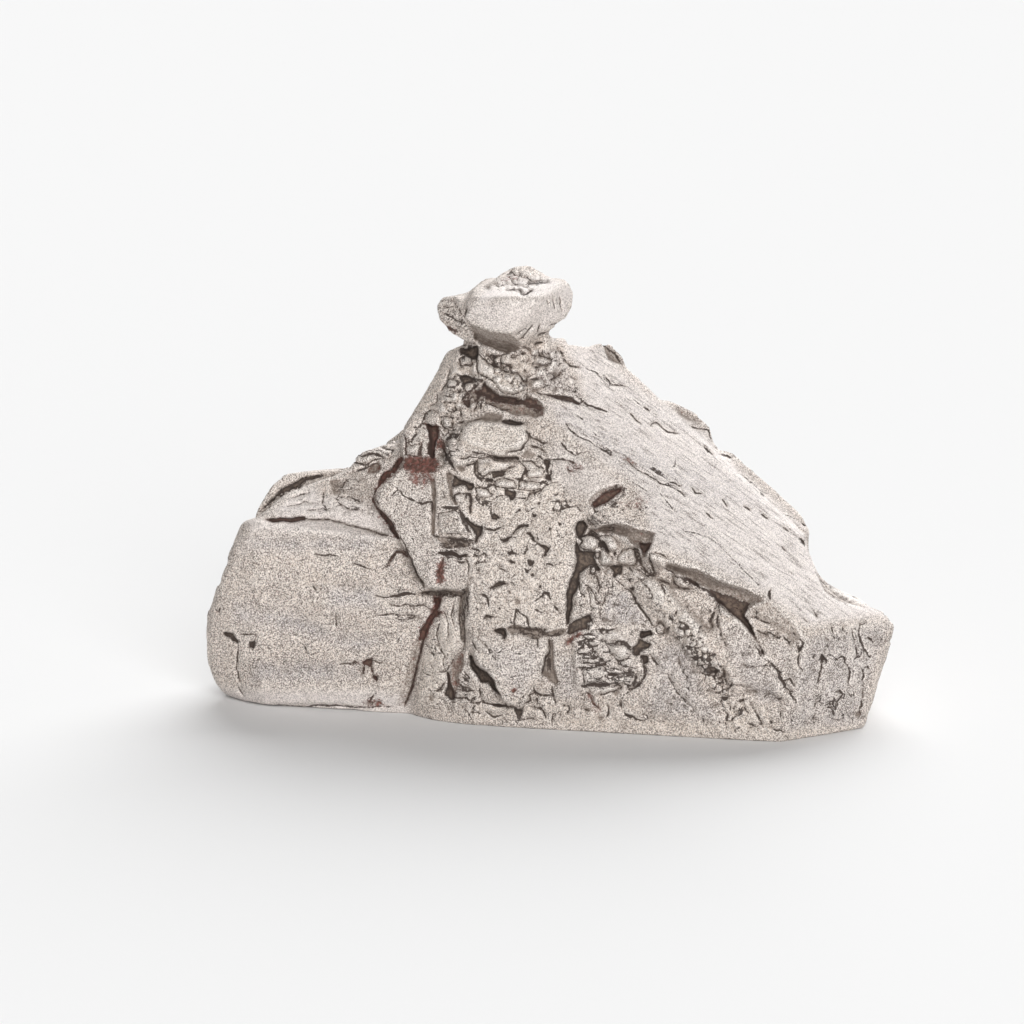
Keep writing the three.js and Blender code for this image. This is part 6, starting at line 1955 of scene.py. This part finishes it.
class METEORITE_OT_lump(bpy.types.Operator):
    """Builds the lump of iron and its finish"""

    bl_idname = "meteorite.lump"
    bl_label = "Build the lump"
    bl_options = {"REGISTER", "UNDO"}

    CLOSE = 0.45  # spread, in mm, of the blur that finds the cracks and the sharp edges
    WIDE = 1.5  # spread, in mm, of the blur that finds the sheltered hollows
    KEPT = 1.2  # how far from the surface, in mm, the first blur counts, and the second counts twice as far

    def execute(self, context):
        sizes = context.scene.meteorite_lump
        material = iron_finish(context.scene.meteorite_finish, sizes)
        face = front_relief(sizes.seed)

        voxels = Voxels(*solid_of(NODE), sizes.voxel / MM)
        voxels.fill_clefts(sizes.cleft / MM)
        voxels.wear_round(face, sizes.crisp / MM, sizes.soft / MM)
        voxels.map_first_met()
        voxels.cut_relief(face.height())
        voxels.stand_flat()

        piece = bpy.data.objects.new("iron_lump", new_mesh("iron_lump", *voxels.mesh()))
        context.scene.collection.objects.link(piece)
        points, across, up, front = self.seen(piece.data, voxels)
        put_layer(piece.data, "hidden", (1.0 - front) * smoothstep(0.0, 0.8, points[:, 2]))
        put_layer(piece.data, "smooth", read_layer(face.smooth, across, up) * front)
        named_sizes = {name: getattr(sizes, name.lower().replace(" ", "_")) for name in TREE_SIZES}
        named_sizes.update({"Seed": float(sizes.seed), "Crumb": sizes.crumb})
        add_weathering(piece, weathering_tree(material), named_sizes)
        settle(piece)
        if not piece.data.polygons:
            raise RuntimeError("the lump has no faces")

        self.thin(piece, voxels, sizes)
        keep_in_box(piece.data)
        close_up(piece.data)
        self.keep_layers(piece.data, face, voxels)
        piece.data.shade_smooth()
        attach(piece, "root")
        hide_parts(NODE)
        return {"FINISHED"}

    def seen(self, mesh, voxels):
        """The mesh's points, where they lie on the front view, and how much of the front each one has."""
        points = points_of(mesh)
        across, up, beyond = sighted(points)
        return points, across, up, voxels.front_share(voxels.nearest(points), across, up, beyond)

    def thin(self, piece, voxels, sizes):
        """Thins the hidden sides first, and then the front, so that the front stays fine."""
        front = self.seen(piece.data, voxels)[3] > ON_FRONT
        corners = np.empty(len(piece.data.loops), np.int32)
        piece.data.loops.foreach_get("vertex_index", corners)
        starts = np.empty(len(piece.data.polygons), np.int32)
        piece.data.polygons.foreach_get("loop_start", starts)
        fine = np.count_nonzero(front[corners[starts]]) / len(starts) * triangle_count(piece.data)
        thin_out(piece, ~front, int(fine) + sizes.hidden_triangles)
        thin_out(piece, self.seen(piece.data, voxels)[3] > ON_FRONT, sizes.triangles)

    def keep_layers(self, mesh, face, voxels):
        """Notes on the final mesh what the finish reads at each point."""
        for name in ("hidden", "smooth"):
            mesh.attributes.remove(mesh.attributes[name])
        points, across, up, front = self.seen(mesh, voxels)
        near = np.clip(voxels.distance, -self.KEPT, self.KEPT)
        close = sampled(blurred(near, self.CLOSE / voxels.step), voxels.low, voxels.step, points)
        twice = 2.0 * voxels.step
        coarse = np.clip(voxels.distance[::2, ::2, ::2], -2.0 * self.KEPT, 2.0 * self.KEPT)
        wide = sampled(blurred(coarse, self.WIDE / twice), voxels.low, twice, points)
        # cavity and shelter say where the finish paints shade, with some soft dirt, into the dips; worn
        # says where it paints edges pale, partly wear and partly painted highlight
        put_layer(mesh, "cavity", np.clip(-close * 2.4, 0.0, 1.0))
        put_layer(mesh, "worn", np.clip(close * 3.6 - 0.1, 0.0, 1.0))
        put_layer(mesh, "shelter", np.clip(-wide * 1.1, 0.0, 1.0))
        put_layer(mesh, "hidden", 1.0 - front)
        for name, nothing in Relief.START.items():
            if name not in ("lift", "sunk", "soft"):
                values = read_layer(getattr(face, name), across, up)
                put_layer(mesh, name, np.where(front > ON_FRONT, values, nothing))


class METEORITE_OT_stage(bpy.types.Operator):
    """Sets up a plain pale floor, soft lights and the camera"""

    bl_idname = "meteorite.stage"
    bl_label = "Set the stage"
    bl_options = {"REGISTER", "UNDO"}

    FLOOR_REACH = 6.0  # metres from the middle of the floor to its edge
    KEY_FROM = (0.16, 0.50, 0.38)
    FRONT_FROM = (0.15, -0.82, 0.36)

    def execute(self, context):
        settings = context.scene.meteorite_stage
        self.lay_floor(context, settings)
        self.hang_lights(context, settings)
        self.place_camera(context)
        return {"FINISHED"}

    def lay_floor(self, context, settings):
        """Lays the floor that the lump stands on."""
        mesh = bpy.data.meshes.new("floor")
        builder = bmesh.new()
        bmesh.ops.create_grid(builder, x_segments=1, y_segments=1, size=self.FLOOR_REACH)
        builder.to_mesh(mesh)
        builder.free()
        floor = bpy.data.objects.new("floor", mesh)
        context.scene.collection.objects.link(floor)
        mesh.materials.append(plain_finish("studio_floor", settings.floor, 0.9))

    def hang_lights(self, context, settings):
        """Lights the sky, the key light and the front light."""
        world = bpy.data.worlds.new("studio")
        context.scene.world = world
        world.use_nodes = True
        background = world.node_tree.nodes["Background"]
        background.inputs["Color"].default_value = (1.0, 1.0, 1.0, 1.0)
        background.inputs["Strength"].default_value = settings.sky
        for name, place, strength, spread in (
            ("key", self.KEY_FROM, settings.key, settings.key_spread),
            ("front", self.FRONT_FROM, settings.front, settings.front_spread),
        ):
            lamp = bpy.data.lights.new(name, "SUN")
            lamp.energy = strength
            lamp.angle = spread
            light = bpy.data.objects.new(name, lamp)
            context.scene.collection.objects.link(light)
            light.location = place
            light.rotation_euler = (-light.location).to_track_quat("-Z", "Y").to_euler()

    def place_camera(self, context):
        """Puts the camera where the front view is seen from."""
        lens = bpy.data.cameras.new("camera")
        lens.lens = LENS
        lens.sensor_width = SENSOR_WIDTH
        lens.clip_start = 0.01
        camera = bpy.data.objects.new("camera", lens)
        context.scene.collection.objects.link(camera)
        back = np.array([0.0, -math.cos(SIGHT_TILT), math.sin(SIGHT_TILT)]) * SIGHT_DISTANCE
        camera.location = (SIGHT_CENTRE + back) * MM
        camera.rotation_euler = (math.radians(90.0) - SIGHT_TILT, 0.0, 0.0)
        context.scene.camera = camera
        context.scene.view_settings.view_transform = "Standard"


# ---- Panel and registering ----


class METEORITE_PT_panel(bpy.types.Panel):
    """Lists the meteorite's settings and steps"""

    bl_idname = "METEORITE_PT_panel"
    bl_label = "Iron Meteorite"
    bl_space_type = "VIEW_3D"
    bl_region_type = "UI"
    bl_category = "Meteorite"

    def draw(self, context):
        layout = self.layout
        for group, step in (
            (context.scene.meteorite_lump, METEORITE_OT_lump.bl_idname),
            (context.scene.meteorite_finish, None),
            (context.scene.meteorite_stage, METEORITE_OT_stage.bl_idname),
        ):
            box = layout.box()
            for name in group.bl_rna.properties.keys():
                if name not in {"rna_type", "name"}:
                    box.prop(group, name)
            if step:
                box.operator(step)


CLASSES = (
    LumpSettings,
    FinishSettings,
    StageSettings,
    METEORITE_OT_lump,
    METEORITE_OT_stage,
    METEORITE_PT_panel,
)


def register():
    """Adds the settings, the steps and the panel."""
    for cls in CLASSES:
        bpy.utils.register_class(cls)
    bpy.types.Scene.meteorite_lump = PointerProperty(type=LumpSettings)
    bpy.types.Scene.meteorite_finish = PointerProperty(type=FinishSettings)
    bpy.types.Scene.meteorite_stage = PointerProperty(type=StageSettings)


def unregister():
    """Takes them away again."""
    del bpy.types.Scene.meteorite_stage
    del bpy.types.Scene.meteorite_finish
    del bpy.types.Scene.meteorite_lump
    for cls in reversed(CLASSES):
        bpy.utils.unregister_class(cls)


def main():
    """Builds the lump and the stage."""
    register()
    bpy.ops.meteorite.lump()
    bpy.ops.meteorite.stage()


if __name__ == "__main__":
    main()
